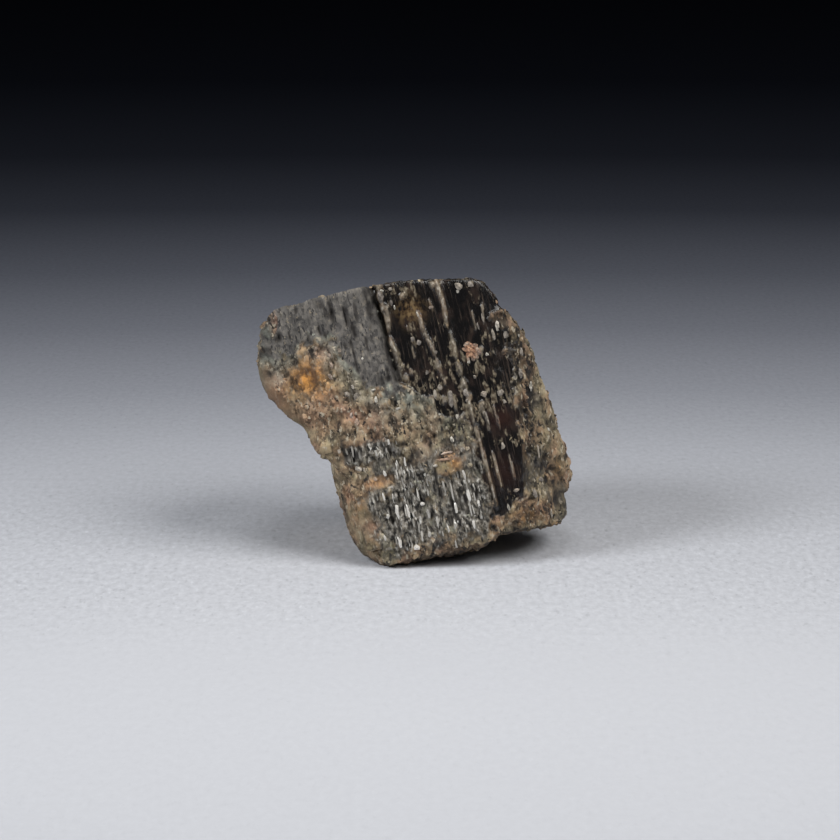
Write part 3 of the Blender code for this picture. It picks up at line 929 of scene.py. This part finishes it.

# Splintered crystal: worn ground from black to silver, long or short, with needles of painted glint
# and a painted black shadow beside each. Both swerve a little.
SILVER_HUES = [
    (0.35, (0.008, 0.007, 0.006)),
    (0.42, (0.045, 0.040, 0.033)),
    (0.50, (0.190, 0.170, 0.138)),
    (0.57, (0.340, 0.312, 0.268)),
    (0.64, (0.720, 0.690, 0.620)),
]
PAINTED_SHADOW_BLACK, PAINTED_GLINT_WHITE = (0.004, 0.004, 0.003, 1.0), (0.88, 0.85, 0.78, 1.0)
NEEDLE_SIZES, NEEDLE_START = (0.10, 0.10, 0.40), 22.0
SWERVE, BESIDE = (0.30, 0.0, 0.10), (0.10, 0.0, 0.05)
inputs = {0: nodes.drift(nodes.sized(place, (0.5, 0.5, 0.6)), 1.0), 1: SWERVE, 2: place}
swerved = nodes.add("ShaderNodeVectorMath", inputs, operation="MULTIPLY_ADD").outputs[0]
worn_long = nodes.noise(swerved, (0.13, 0.13, 0.42), 24.0, 3.0)
worn_short = nodes.noise(place, (0.20, 0.20, 0.26), 26.0, 3.0)
worn_kind = nodes.band(nodes.noise(place, (0.9, 0.9, 0.9), 25.0), 0.40, 0.56)
silver_colour = nodes.ramp(nodes.blend(worn_kind, worn_long, worn_short), SILVER_HUES)
needles = nodes.noise(swerved, NEEDLE_SIZES, NEEDLE_START, 1.0)
shadows_beside = nodes.noise(nodes.shift(swerved, BESIDE), NEEDLE_SIZES, NEEDLE_START, 1.0)
needle_field = nodes.sum((nodes.noise(place, (0.8, 0.8, 1.0), 23.0, 2.0), 0.40), (clusters, 0.14))
shadow_share = nodes.band(nodes.sum((shadows_beside, 0.80), (needle_field, 0.7)), 0.67, 0.71)
glint_share = nodes.band(nodes.sum((needles, 0.80), (needle_field, 0.7)), 0.70, 0.74)
silver_colour = nodes.mix(shadow_share, silver_colour, PAINTED_SHADOW_BLACK)
silver_colour = nodes.mix(glint_share, silver_colour, PAINTED_GLINT_WHITE)
faded = nodes.band(nodes.noise(place, (0.60, 0.60, 0.80), 28.0, 1.0), 0.36, 0.62, 0.60, 1.30)
# Painted glint: the silver is brighter in the clusters of bright blades.
brighter = nodes.band(clusters, 0.0, 0.5, 0.84, 1.08)
silver_colour = nodes.shade(silver_colour, nodes.times(faded, brighter))
splintered = nodes.sum((nodes.noise(place, (0.40, 0.40, 0.70), 6.0, 3.0), 1.0), (clusters, 0.16))
silver_share = nodes.times(nodes.mask("silver"), nodes.band(splintered, 0.40, 0.50))

# The raised sheet, dull, with a painted grey sheen: grey chips and strokes in blotches, with dark
# dashes and a few crumbs.
GREY_HUES = [
    (0.30, (0.067, 0.061, 0.056)),
    (0.40, (0.103, 0.095, 0.087)),
    (0.50, (0.149, 0.137, 0.123)),
    (0.60, (0.191, 0.174, 0.152)),
    (0.72, (0.300, 0.264, 0.212)),
]
DASH_BLACK, CRUMB_TAN = (0.030, 0.028, 0.028, 1.0), (0.30, 0.25, 0.18, 1.0)
grey_chip = nodes.chips(place, (0.12, 0.12, 0.15), 8.0)
grey_cloud = nodes.noise(place, (0.5, 0.5, 0.8), 9.0, 4.0)
grey_strokes = nodes.noise(place, (0.10, 0.10, 0.55), 10.0, 2.0)
grey_tone = nodes.sum((grey_chip, 0.28), (grey_cloud, 0.42), (grey_strokes, 0.30))
grey_colour = nodes.ramp(grey_tone, GREY_HUES)
dashes = nodes.noise(place, (0.11, 0.11, 0.36), 14.0, 2.0)
grey_colour = nodes.mix(nodes.band(dashes, 0.58, 0.64), grey_colour, DASH_BLACK)
blotches = nodes.noise(place, (0.55, 0.55, 0.90), 18.0, 3.0)
grey_colour = nodes.shade(grey_colour, nodes.band(blotches, 0.36, 0.62, 0.76, 1.22))
stray_crumbs = nodes.noise(place, (0.18, 0.18, 0.22), 15.0, 2.0)
grey_colour = nodes.mix(nodes.band(stray_crumbs, 0.64, 0.70), grey_colour, CRUMB_TAN)

# All of them, laid over one another. Bare crystal is glossy and the rest is dull.
PAINTED_SHADE_STRENGTH = 0.9
GLOSSY, DULL = 0.25, 0.85
colour = nodes.mix(nodes.mask("tan"), bare_colour, tan_colour)
colour = nodes.mix(silver_share, colour, silver_colour)
# Painted sheen: the raised sheet takes its grey colour.
colour = nodes.mix(nodes.mask("grey"), colour, grey_colour)
# Painted shade: the seam, slits, pits, gaps, pockets, underside and upper rim darken towards black.
colour = nodes.mix(nodes.times(nodes.mask("hollow"), PAINTED_SHADE_STRENGTH), colour, PAINTED_SHADE_BLACK)
covered = nodes.larger(nodes.mask("tan"), nodes.mask("grey"))
crust_height = nodes.times(crust_part.outputs["Height"], nodes.mask("tan"))
height = nodes.sum((crust_height, 0.7), (lines, 0.35), (hairs, 0.25), (needles, 0.3))
nodes.feed(shader, Base_Color=colour, Roughness=nodes.band(covered, 0.0, 1.0, GLOSSY, DULL))
nodes.feed(shader, Normal=nodes.bump(height, 0.8, 0.00007))
shader.inputs["IOR"].default_value = 1.6

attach(crystal, "root")
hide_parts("crystal")


# ---------------------------------------------------------------------------------------------
# Grains of the crust
# Small angular crumbs of the matrix that the crystal grew in. They are still stuck to the crust,
# each sunk a little into it, and share its colours.
# ---------------------------------------------------------------------------------------------

# How many crumbs there are, their half sizes in mm, and the points round and rings up each grain.
CRUMB_COUNT = 2200
CRUMB_SIZES = (0.07, 0.18)
GRAIN_TURNS, GRAIN_RINGS = 4, 2


def ball_grid(turns, rings, bluntness):
    """Points of a ball of radius 1, by turn and by rise from pole to pole, and its triangles. The
    width is (1 - rise ** 2) ** (0.5 - 0.5 * bluntness): a ball at 0, and a rod at 1."""
    rise = np.linspace(-1.0, 1.0, rings + 2)[1:-1, None] * (rings + 1) / (rings + 1.6)
    turn = np.arange(turns)[None, :] + 0.5 * np.arange(rings)[:, None]
    turn = turn * 2.0 * math.pi / turns
    width = (1.0 - rise ** 2) ** (0.5 - 0.5 * bluntness)
    body = np.stack([width * np.cos(turn), width * np.sin(turn), rise + 0.0 * turn], -1).reshape(-1, 3)
    spots = np.concatenate([body, [[0.0, 0.0, -1.0], [0.0, 0.0, 1.0]]])
    bottom, top = rings * turns, rings * turns + 1
    now = np.arange(turns)
    after = (now + 1) % turns
    faces = [np.column_stack([after, now, np.full(turns, bottom)])]
    for ring in range(rings - 1):
        low, high = ring * turns, (ring + 1) * turns
        faces.append(np.column_stack([low + now, low + after, high + now]))
        faces.append(np.column_stack([low + after, high + after, high + now]))
    last = (rings - 1) * turns
    faces.append(np.column_stack([last + now, last + after, np.full(turns, top)]))
    return spots, np.concatenate(faces)


def scatter_grains(name, centres, outward, half_sizes, seed, lean=1.0, bluntness=0.0):
    """One mesh of many grains. Each is a ball with its points pushed in at random, stretched to
    three half sizes (across, along the striations, outward), turned by up to lean and set in place."""
    ball, faces = ball_grid(GRAIN_TURNS, GRAIN_RINGS, bluntness)
    count = len(centres)
    draw = np.random.default_rng(seed)
    uneven = ball[None] * draw.uniform(0.50 + 0.2 * bluntness, 1.20, (count, len(ball), 1))
    striation = np.array([0.0, 0.0, 1.0]) + lean * draw.uniform(-1.0, 1.0, outward.shape)
    sideways = np.cross(striation, outward)
    sideways /= np.linalg.norm(sideways, axis=1)[:, None]
    upward = np.cross(outward, sideways)
    frames = np.stack([sideways, upward, outward], 1)
    spots = np.einsum("nvk,nkj->nvj", uneven * half_sizes[:, None, :], frames) + centres[:, None, :]
    spots = spots.reshape(-1, 3)
    triangles = (faces[None] + len(ball) * np.arange(count)[:, None, None]).reshape(-1, 3)
    mesh = bpy.data.meshes.new(name)
    mesh.from_pydata(stand(spots).tolist(), [], triangles.tolist())
    set_place(mesh, "grown", spots)
    piece = bpy.data.objects.new(name, mesh)
    bpy.context.scene.collection.objects.link(piece)
    return piece


def each_grain(values):
    """Repeats one value a grain for all its points."""
    return np.repeat(values, GRAIN_TURNS * GRAIN_RINGS + 2, axis=0)


# Crumbs lie where there is crust: fewer on smooth or rusty crust, and none in the dark pockets.
draw = np.random.default_rng(7)
chance = crust * (1.0 - np.minimum(1.2 * pockets, 1.0)) * (1.0 - resting)
chance *= (1.0 - 0.95 * calm) * (1.0 - 0.8 * stains["ochre"])
chance *= 0.35 + 0.65 * step(broad, -0.4, 0.4)
chance += 0.08 * film
picked = draw.choice(len(points), CRUMB_COUNT, replace=False, p=chance / chance.sum())
radius = draw.uniform(*CRUMB_SIZES, CRUMB_COUNT) * draw.uniform(0.6, 1.0, CRUMB_COUNT)
stretch = [draw.uniform(low, high, CRUMB_COUNT) for low, high in ((0.7, 1.1), (0.8, 1.4), (0.30, 0.6))]
half_sizes = radius[:, None] * np.column_stack(stretch)
sunk = radius * draw.uniform(-0.40, 0.05, CRUMB_COUNT)
centres = points[picked] + normals[picked] * sunk[:, None]
crumbs = scatter_grains("crust_grains", centres, normals[picked], half_sizes, 8)
crumb_tone = 0.5 * tone[picked] + draw.uniform(0.0, 0.5, CRUMB_COUNT)
set_mask(crumbs.data, "tone", each_grain(crumb_tone))
for name, values in {"calm": calm, **stains}.items():
    set_mask(crumbs.data, name, each_grain(values[picked]))

shader, nodes = new_finish(crumbs, "crust grains")
crust_part = crust_node(nodes)
lightness = nodes.band(nodes.mask("tone"), 0.0, 1.0, 0.82, 1.25)
nodes.feed(shader, Base_Color=nodes.shade(crust_part.outputs["Colour"], lightness))
nodes.feed(shader, Normal=nodes.bump(crust_part.outputs["Height"], 0.6, 0.00003))
shader.inputs["Roughness"].default_value = 0.62

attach(crumbs, "root")


# ---------------------------------------------------------------------------------------------
# Bright blades
# Narrow splinters of the crystal itself, left standing where its lower front broke along the
# striations. Their clean sides shine, and their near-white colour is a painted glint.
# ---------------------------------------------------------------------------------------------

# The splinters that stand out most: place, half width, half length and painted brightness.
SPLINTERS = [
    ((0.14, 5.46), 0.07, 0.13, 1.00),
    ((0.46, 5.45), 0.04, 0.22, 0.55),
    ((0.62, 4.47), 0.05, 0.22, 0.90),
    ((-1.50, 5.50), 0.05, 0.27, 0.45),
    ((-0.51, 5.11), 0.07, 0.16, 0.55),
    ((-0.34, 4.15), 0.07, 0.14, 0.80),
    ((0.16, 3.98), 0.04, 0.21, 0.70),
    ((-0.61, 3.18), 0.05, 0.18, 1.00),
    ((-0.20, 3.07), 0.05, 0.23, 0.85),
    ((-0.18, 2.40), 0.09, 0.34, 1.00),
    ((0.31, 2.33), 0.06, 0.36, 1.00),
    ((0.44, 2.25), 0.05, 0.27, 0.80),
    ((0.87, 2.86), 0.05, 0.34, 0.85),
    ((0.97, 2.49), 0.12, 0.08, 0.80),
    ((-0.63, 2.30), 0.10, 0.12, 0.70),
    ((-0.38, 1.16), 0.10, 0.29, 1.00),
    ((0.27, 0.74), 0.15, 0.12, 1.00),
    ((-0.93, 1.40), 0.08, 0.13, 0.70),
    ((2.38, 1.94), 0.07, 0.25, 0.90),
    ((3.06, 2.48), 0.08, 0.28, 1.00),
    ((3.01, 1.84), 0.05, 0.27, 0.70),
    ((3.39, 2.01), 0.09, 0.17, 1.00),
    ((2.36, 2.76), 0.05, 0.49, 0.55),
    ((2.05, 2.97), 0.05, 0.31, 0.50),
    ((3.06, 3.35), 0.07, 0.21, 0.75),
    ((2.78, 3.41), 0.05, 0.18, 0.60),
    ((2.98, 1.15), 0.08, 0.20, 0.85),
    ((1.84, 1.21), 0.06, 0.21, 0.70),
    ((1.45, 1.62), 0.06, 0.29, 0.65),
    ((0.99, 1.14), 0.10, 0.13, 0.50),
    ((0.36, 3.67), 0.04, 0.34, 0.60),
    ((2.20, 1.29), 0.08, 0.16, 0.55),
    ((1.13, 2.10), 0.09, 0.22, 0.45),
    ((3.09, 1.64), 0.04, 0.36, 0.60),
    ((3.36, 1.44), 0.06, 0.20, 0.55),
]
# The many smaller ones between them: how many, and ranges of half width and half length.
BLADE_COUNT = 70
BLADE_WIDTHS, BLADE_LENGTHS = (0.030, 0.055), (0.12, 0.28)
BLADE_LIFT = 0.035


def nearest_on_front(places):
    """The numbers of the front points nearest to a list of places (across, along)."""
    ids = np.flatnonzero(front > 0.5)
    gaps = (places[:, None, 0] - across[ids]) ** 2 + (places[:, None, 1] - along[ids]) ** 2
    return ids[np.argmin(gaps, axis=1)]


draw = np.random.default_rng(17)
chance = silver * (0.06 + clustered)
large = np.array([(*place, *rest) for place, *rest in SPLINTERS])
small = draw.choice(len(points), BLADE_COUNT, replace=False, p=chance / chance.sum())
picked = np.concatenate([nearest_on_front(large[:, :2]), small])
width = np.concatenate([large[:, 2], draw.uniform(*BLADE_WIDTHS, BLADE_COUNT)])
length = np.concatenate([1.15 * large[:, 3], draw.uniform(*BLADE_LENGTHS, BLADE_COUNT)])
brightness = np.concatenate([large[:, 4], 0.7 * draw.uniform(0.0, 1.0, BLADE_COUNT) ** 1.5])
half_sizes = np.column_stack([width, length, 0.8 * width])
centres = points[picked] + normals[picked] * BLADE_LIFT
blades = scatter_grains("bright_blades", centres, normals[picked], half_sizes, 18, 0.06, 0.7)
set_mask(blades.data, "tone", each_grain(brightness))

# Painted glint: the brightest blades are coloured near-white.
DULL_BLADE, PAINTED_GLINT_BLADE = (0.20, 0.18, 0.14, 1.0), (1.0, 0.955, 0.875, 1.0)
shader, nodes = new_finish(blades, "blade with painted glint")
tint = nodes.mix(nodes.mask("tone"), DULL_BLADE, PAINTED_GLINT_BLADE)
dull = nodes.noise(nodes.place("grown"), (0.05, 0.05, 0.20), 1.0)
nodes.feed(shader, Base_Color=nodes.shade(tint, nodes.band(dull, 0.30, 0.60, 0.75, 1.0)))
nodes.feed(shader, Roughness=nodes.band(dull, 0.30, 0.70, 0.40, 0.18))
shader.inputs["IOR"].default_value = 2.4

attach(blades, "root")


# ---------------------------------------------------------------------------------------------
# Single grains on the front
# Lone grains of feldspar and quartz that stuck to the crystal, with one orange-pink cluster. Each
# sits on the surface and is a little sunk into it.
# ---------------------------------------------------------------------------------------------

# Place, half width, half length, tone from purple-grey to white, and share of orange-pink.
LONE_GRAINS = [
    ((5.22, 8.28), 0.080, 0.095, 0.80, 0.0),
    ((4.36, 8.07), 0.075, 0.100, 0.90, 0.1),
    ((4.48, 7.45), 0.100, 0.110, 0.55, 0.0),
    ((5.00, 4.15), 0.095, 0.190, 0.62, 0.0),
    ((5.20, 11.42), 0.160, 0.140, 0.52, 0.0),
    ((4.60, 11.26), 0.075, 0.085, 0.85, 0.0),
    ((4.72, 6.54), 0.170, 0.150, 0.62, 0.1),
    ((5.39, 6.50), 0.170, 0.160, 0.55, 0.0),
    ((5.52, 6.08), 0.120, 0.130, 0.60, 0.0),
    ((2.60, 7.10), 0.110, 0.230, 0.62, 0.0),
    ((2.85, 7.35), 0.120, 0.150, 0.58, 0.0),
    ((7.11, 4.41), 0.090, 0.110, 0.85, 0.0),
    ((2.50, 4.43), 0.480, 0.100, 0.82, 0.50),
    ((2.32, 4.22), 0.360, 0.070, 0.62, 0.65),
    ((1.92, 3.99), 0.130, 0.100, 0.95, 0.1),
    ((2.85, 4.95), 0.110, 0.150, 0.85, 0.0),
    ((3.19, 4.41), 0.100, 0.120, 0.65, 0.0),
    ((-1.16, 7.00), 0.130, 0.230, 0.85, 0.5),
    ((-1.02, 6.66), 0.120, 0.180, 0.75, 0.6),
    ((0.02, 7.85), 0.170, 0.060, 0.90, 0.0),
    ((0.02, 7.45), 0.085, 0.150, 0.90, 0.0),
    ((0.86, 6.80), 0.150, 0.055, 0.85, 0.0),
    ((-0.14, 9.29), 0.065, 0.070, 0.95, 0.0),
    ((-0.85, 8.19), 0.100, 0.120, 0.88, 0.1),
    ((-0.78, 7.75), 0.130, 0.200, 0.60, 0.0),
    ((-1.18, 7.90), 0.140, 0.180, 0.55, 0.0),
    ((1.22, 11.78), 0.150, 0.400, 0.42, 0.0),
    ((1.62, 11.45), 0.110, 0.200, 0.40, 0.0),
    ((1.75, 12.05), 0.110, 0.090, 0.60, 0.0),
    ((-2.02, 10.25), 0.120, 0.130, 0.62, 0.3),
    ((-1.53, 9.79), 0.100, 0.130, 0.66, 0.3),
    ((-1.05, 9.90), 0.080, 0.100, 0.60, 0.2),
    ((-1.57, 9.35), 0.100, 0.160, 0.62, 0.3),
    ((-1.72, 8.80), 0.120, 0.160, 0.52, 0.2),
    ((2.58, 6.15), 0.090, 0.110, 0.80, 0.0),
    ((3.30, 5.85), 0.085, 0.110, 0.75, 0.0),
    ((2.20, 9.60), 0.100, 0.120, 0.45, 0.0),
    ((3.05, 8.85), 0.090, 0.100, 0.50, 0.0),
    ((3.90, 6.45), 0.085, 0.100, 0.60, 0.0),
    ((2.45, 8.10), 0.080, 0.160, 0.45, 0.0),
    ((5.90, 9.30), 0.070, 0.180, 0.80, 0.0),
    ((6.70, 6.60), 0.065, 0.190, 0.95, 0.1),
    ((5.38, 9.80), 0.050, 0.260, 0.55, 0.0),
    ((5.10, 9.55), 0.045, 0.230, 0.45, 0.0),
    ((5.16, 3.20), 0.045, 0.330, 0.60, 0.0),
    ((4.58, 5.55), 0.045, 0.420, 0.60, 0.0),
    ((4.65, 1.48), 0.070, 0.200, 0.75, 0.0),
    ((4.72, 11.46), 0.260, 0.230, 0.60, 0.0),
    ((1.31, 12.00), 0.100, 0.070, 1.00, 0.0),
    ((1.73, 11.15), 0.060, 0.150, 0.85, 0.0),
    ((3.27, 10.80), 0.130, 0.090, 0.50, 0.2),
    ((2.61, 10.68), 0.060, 0.160, 0.70, 0.0),
    ((2.42, 9.46), 0.120, 0.150, 0.48, 0.0),
    ((-1.42, 4.62), 0.150, 0.170, 0.85, 0.1),
    ((-1.16, 4.50), 0.090, 0.120, 0.70, 0.1),
    ((-0.34, 4.15), 0.090, 0.150, 0.90, 0.1),
    ((0.11, 3.95), 0.080, 0.150, 0.80, 0.1),
    ((-0.81, 4.06), 0.090, 0.110, 0.60, 0.3),
    ((-2.05, 5.53), 0.100, 0.120, 0.70, 0.1),
    ((6.42, 4.34), 0.135, 0.090, 0.75, 0.0),
    ((6.34, 3.60), 0.065, 0.310, 0.60, 0.0),
    ((6.47, 0.82), 0.100, 0.265, 0.65, 0.0),
    ((5.15, 2.16), 0.155, 0.110, 0.60, 0.1),
    ((5.96, 9.37), 0.110, 0.210, 0.85, 0.1),
    ((6.23, 8.99), 0.140, 0.230, 0.52, 0.0),
    ((5.67, 9.07), 0.090, 0.265, 0.60, 0.0),
    ((6.73, 8.78), 0.090, 0.090, 0.80, 0.0),
    ((6.70, 6.53), 0.100, 0.265, 0.80, 0.0),
    ((6.38, 7.10), 0.180, 0.290, 0.50, 0.0),
    ((3.90, 6.87), 0.180, 0.265, 0.52, 0.0),
    ((3.23, 6.71), 0.135, 0.400, 0.48, 0.0),
    ((6.70, 8.07), 0.090, 0.245, 0.50, 0.0),
    ((6.24, 2.36), 0.225, 0.180, 0.50, 0.0),
    ((5.79, 1.79), 0.180, 0.225, 0.50, 0.0),
]
# The orange-pink cluster: its middle, half sizes, number of grains, and their ranges of half width
# and half length.
CLUSTER_MIDDLE = (4.57, 8.56)
CLUSTER_HALF_SIZES = (0.32, 0.36)
CLUSTER_COUNT = 44
CLUSTER_WIDTHS, CLUSTER_LENGTHS = (0.08, 0.16), (0.08, 0.17)

draw = np.random.default_rng(27)
turn = 2.0 * math.pi * draw.uniform(0.0, 1.0, CLUSTER_COUNT)
far = np.sqrt(draw.uniform(0.0, 1.0, CLUSTER_COUNT))
cluster = np.column_stack([
    CLUSTER_MIDDLE[0] + CLUSTER_HALF_SIZES[0] * far * np.cos(turn),
    CLUSTER_MIDDLE[1] + CLUSTER_HALF_SIZES[1] * far * np.sin(turn),
    draw.uniform(*CLUSTER_WIDTHS, CLUSTER_COUNT),
    draw.uniform(*CLUSTER_LENGTHS, CLUSTER_COUNT),
    0.40 + 0.30 * draw.uniform(0.0, 1.0, CLUSTER_COUNT),
    step(far, 1.15, 0.70),
])
lone = np.array([(*place, *rest) for place, *rest in LONE_GRAINS])
grains = np.concatenate([lone, cluster])
width, length, whiteness, pinkness = grains[:, 2:].T
picked = nearest_on_front(grains[:, :2])
half_sizes = np.column_stack([width, length, 0.5 * np.sqrt(width * length)])
lift = (0.15 + 0.55 * crust[picked]) * half_sizes[:, 2]
centres = points[picked] + normals[picked] * lift[:, None]
loose = scatter_grains("lone_grains", centres, normals[picked], half_sizes, 28, 0.12)
set_mask(loose.data, "tone", each_grain(whiteness))
set_mask(loose.data, "rose", each_grain(pinkness))

GRAIN_HUES = [
    (0.30, (0.150, 0.130, 0.125)),
    (0.60, (0.380, 0.330, 0.270)),
    (1.00, (0.820, 0.780, 0.680)),
]
DARK_BLUSH, PALE_BLUSH = (0.34, 0.130, 0.055, 1.0), (0.72, 0.40, 0.23, 1.0)
shader, nodes = new_finish(loose, "feldspar grain")
place = nodes.place("grown")
tint = nodes.ramp(nodes.mask("tone"), GRAIN_HUES)
blush_tone = nodes.band(nodes.noise(place, (0.20, 0.20, 0.20), 2.0), 0.38, 0.62)
blush = nodes.mix(blush_tone, DARK_BLUSH, PALE_BLUSH)
tint = nodes.mix(nodes.times(nodes.mask("rose"), STAIN_STRENGTH), tint, blush)
mottle = nodes.noise(place, (0.10, 0.10, 0.13), 3.0, 3.0)
nodes.feed(shader, Base_Color=nodes.shade(tint, nodes.band(mottle, 0.34, 0.62, 0.45, 1.20)))
nodes.feed(shader, Roughness=nodes.band(mottle, 0.30, 0.70, 0.60, 0.35))

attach(loose, "root")


# ---------------------------------------------------------------------------------------------
# The card it stands on
# A flat sheet of pale matte card, with a pool of light painted into its colour so that it fades
# nearly to black behind the crystal. The crystal stands loose on it, and its fibres show most close
# beside the crystal.
# ---------------------------------------------------------------------------------------------

# In metres: half the card's side, how far in front of the world's middle the painted pool of light
# is centred, and how far it reaches. Distances to the sides count for about half.
CARD_HALF = 0.8
POOL_SHIFT = (0.0, 0.022, 0.0)
POOL_REACH = 0.2
POOL_STRETCH = (0.55, 1.0, 1.0)
# Painted brightness by distance from the pool's middle, as a share of its reach.
PAINTED_POOL_SHADES = [
    (0.00, 0.685),
    (0.05, 0.66),
    (0.12, 0.57),
    (0.19, 0.445),
    (0.25, 0.308),
    (0.33, 0.19),
    (0.42, 0.11),
    (0.55, 0.045),
    (0.70, 0.021),
    (1.00, 0.011),
]
FIBRE_SIZES = (0.00030, 0.00045, 0.0003)
FLECK_SIZES = (0.00026, 0.00055, 0.0002)

corners = [(x * CARD_HALF, y * CARD_HALF, 0) for x, y in ((-1, -1), (1, -1), (1, 1), (-1, 1))]
card_mesh = bpy.data.meshes.new("card")
card_mesh.from_pydata(corners, [], [(0, 1, 2, 3)])
card = bpy.data.objects.new("card", card_mesh)
bpy.context.scene.collection.objects.link(card)

shader, nodes = new_finish(card, "card with painted light pool")
place = nodes.add("ShaderNodeTexCoord", {}).outputs["Object"]
inputs = {"Vector": place, "Location": POOL_SHIFT, "Scale": POOL_STRETCH}
pool = nodes.add("ShaderNodeMapping", inputs).outputs["Vector"]
distance = nodes.add("ShaderNodeVectorMath", {0: pool}, operation="LENGTH").outputs["Value"]
painted_pool_hues = [(at, (0.99 * shade ** 1.05, shade ** 1.025, 1.03 * shade ** 0.95)) for at, shade in PAINTED_POOL_SHADES]
shade = nodes.ramp(nodes.times(distance, 1.0 / POOL_REACH), painted_pool_hues)
depth = nodes.add("ShaderNodeSeparateXYZ", {"Vector": place}).outputs["Y"]
crisp = nodes.times(nodes.band(depth, -0.017, -0.007, 0.28, 1.3), nodes.band(depth, 0.0, 0.012, 1.0, 0.55))
fibres = nodes.noise(place, FIBRE_SIZES, 0.0, 2.0)
flecks = nodes.noise(place, FLECK_SIZES, 4.0, 2.0)
dark_flecks = nodes.band(flecks, 0.42, 0.27, 0.0, -0.11)
bright_flecks = nodes.band(flecks, 0.60, 0.75, 0.0, 0.09)
grain = nodes.sum((fibres, 0.36), (1.0, -0.18), (dark_flecks, 1.0), (bright_flecks, 1.0))
brightness = nodes.sum((nodes.times(grain, crisp), 1.0), (1.0, 1.0))
nodes.feed(shader, Base_Color=nodes.shade(shade, brightness))
shader.inputs["Roughness"].default_value = 0.9
shader.inputs["Specular IOR Level"].default_value = 0.0


# ---------------------------------------------------------------------------------------------
# Light and camera
# Three soft lamps, a strong one to the right, a smaller one to the left and a weak one above, and
# a camera in front that looks down a little.
# ---------------------------------------------------------------------------------------------

# Place in metres, size in metres, power in watts and colour.
LAMPS = {
    "right_light": ((0.11, -0.05, 0.15), 0.11, 0.232, (1.0, 0.985, 0.96)),
    "left_light": ((-0.13, -0.05, 0.115), 0.055, 0.172, (0.98, 0.99, 1.0)),
    "top_light": ((0.00, 0.00, 0.20), 0.06, 0.060, (1.0, 1.0, 1.0)),
}
LAMP_AIM = Vector((0.0, 0.0, 0.006))
ROOM_COLOUR, ROOM_STRENGTH = (0.9, 0.95, 1.0, 1.0), 0.045
scene = bpy.context.scene
for name, (place, size, power, colour) in LAMPS.items():
    light = bpy.data.lights.new(name, "AREA")
    light.size = size
    light.energy = power
    light.color = colour
    lamp = bpy.data.objects.new(name, light)
    lamp.location = place
    lamp.rotation_euler = (LAMP_AIM - Vector(place)).to_track_quat("-Z", "Y").to_euler()
    scene.collection.objects.link(lamp)
world = bpy.data.worlds.new("studio")
world.use_nodes = True
world.node_tree.nodes["Background"].inputs["Color"].default_value = ROOM_COLOUR
world.node_tree.nodes["Background"].inputs["Strength"].default_value = ROOM_STRENGTH
scene.world = world
scene.view_settings.view_transform = "Standard"

CAMERA_TILT = math.radians(15.0)
CAMERA_DISTANCE = 0.104
CAMERA_AIM = Vector((0.00015, -0.001635, 0.00597))
camera_data = bpy.data.cameras.new("camera")
camera_data.lens = 100.0
camera_data.sensor_width = 36.0
camera_data.clip_start = 0.005
camera = bpy.data.objects.new("camera", camera_data)
backward = Vector((0.0, -math.cos(CAMERA_TILT), math.sin(CAMERA_TILT)))
camera.location = CAMERA_AIM + CAMERA_DISTANCE * backward
camera.rotation_euler = (math.radians(90.0) - CAMERA_TILT, 0.0, 0.0)
scene.collection.objects.link(camera)
scene.camera = camera
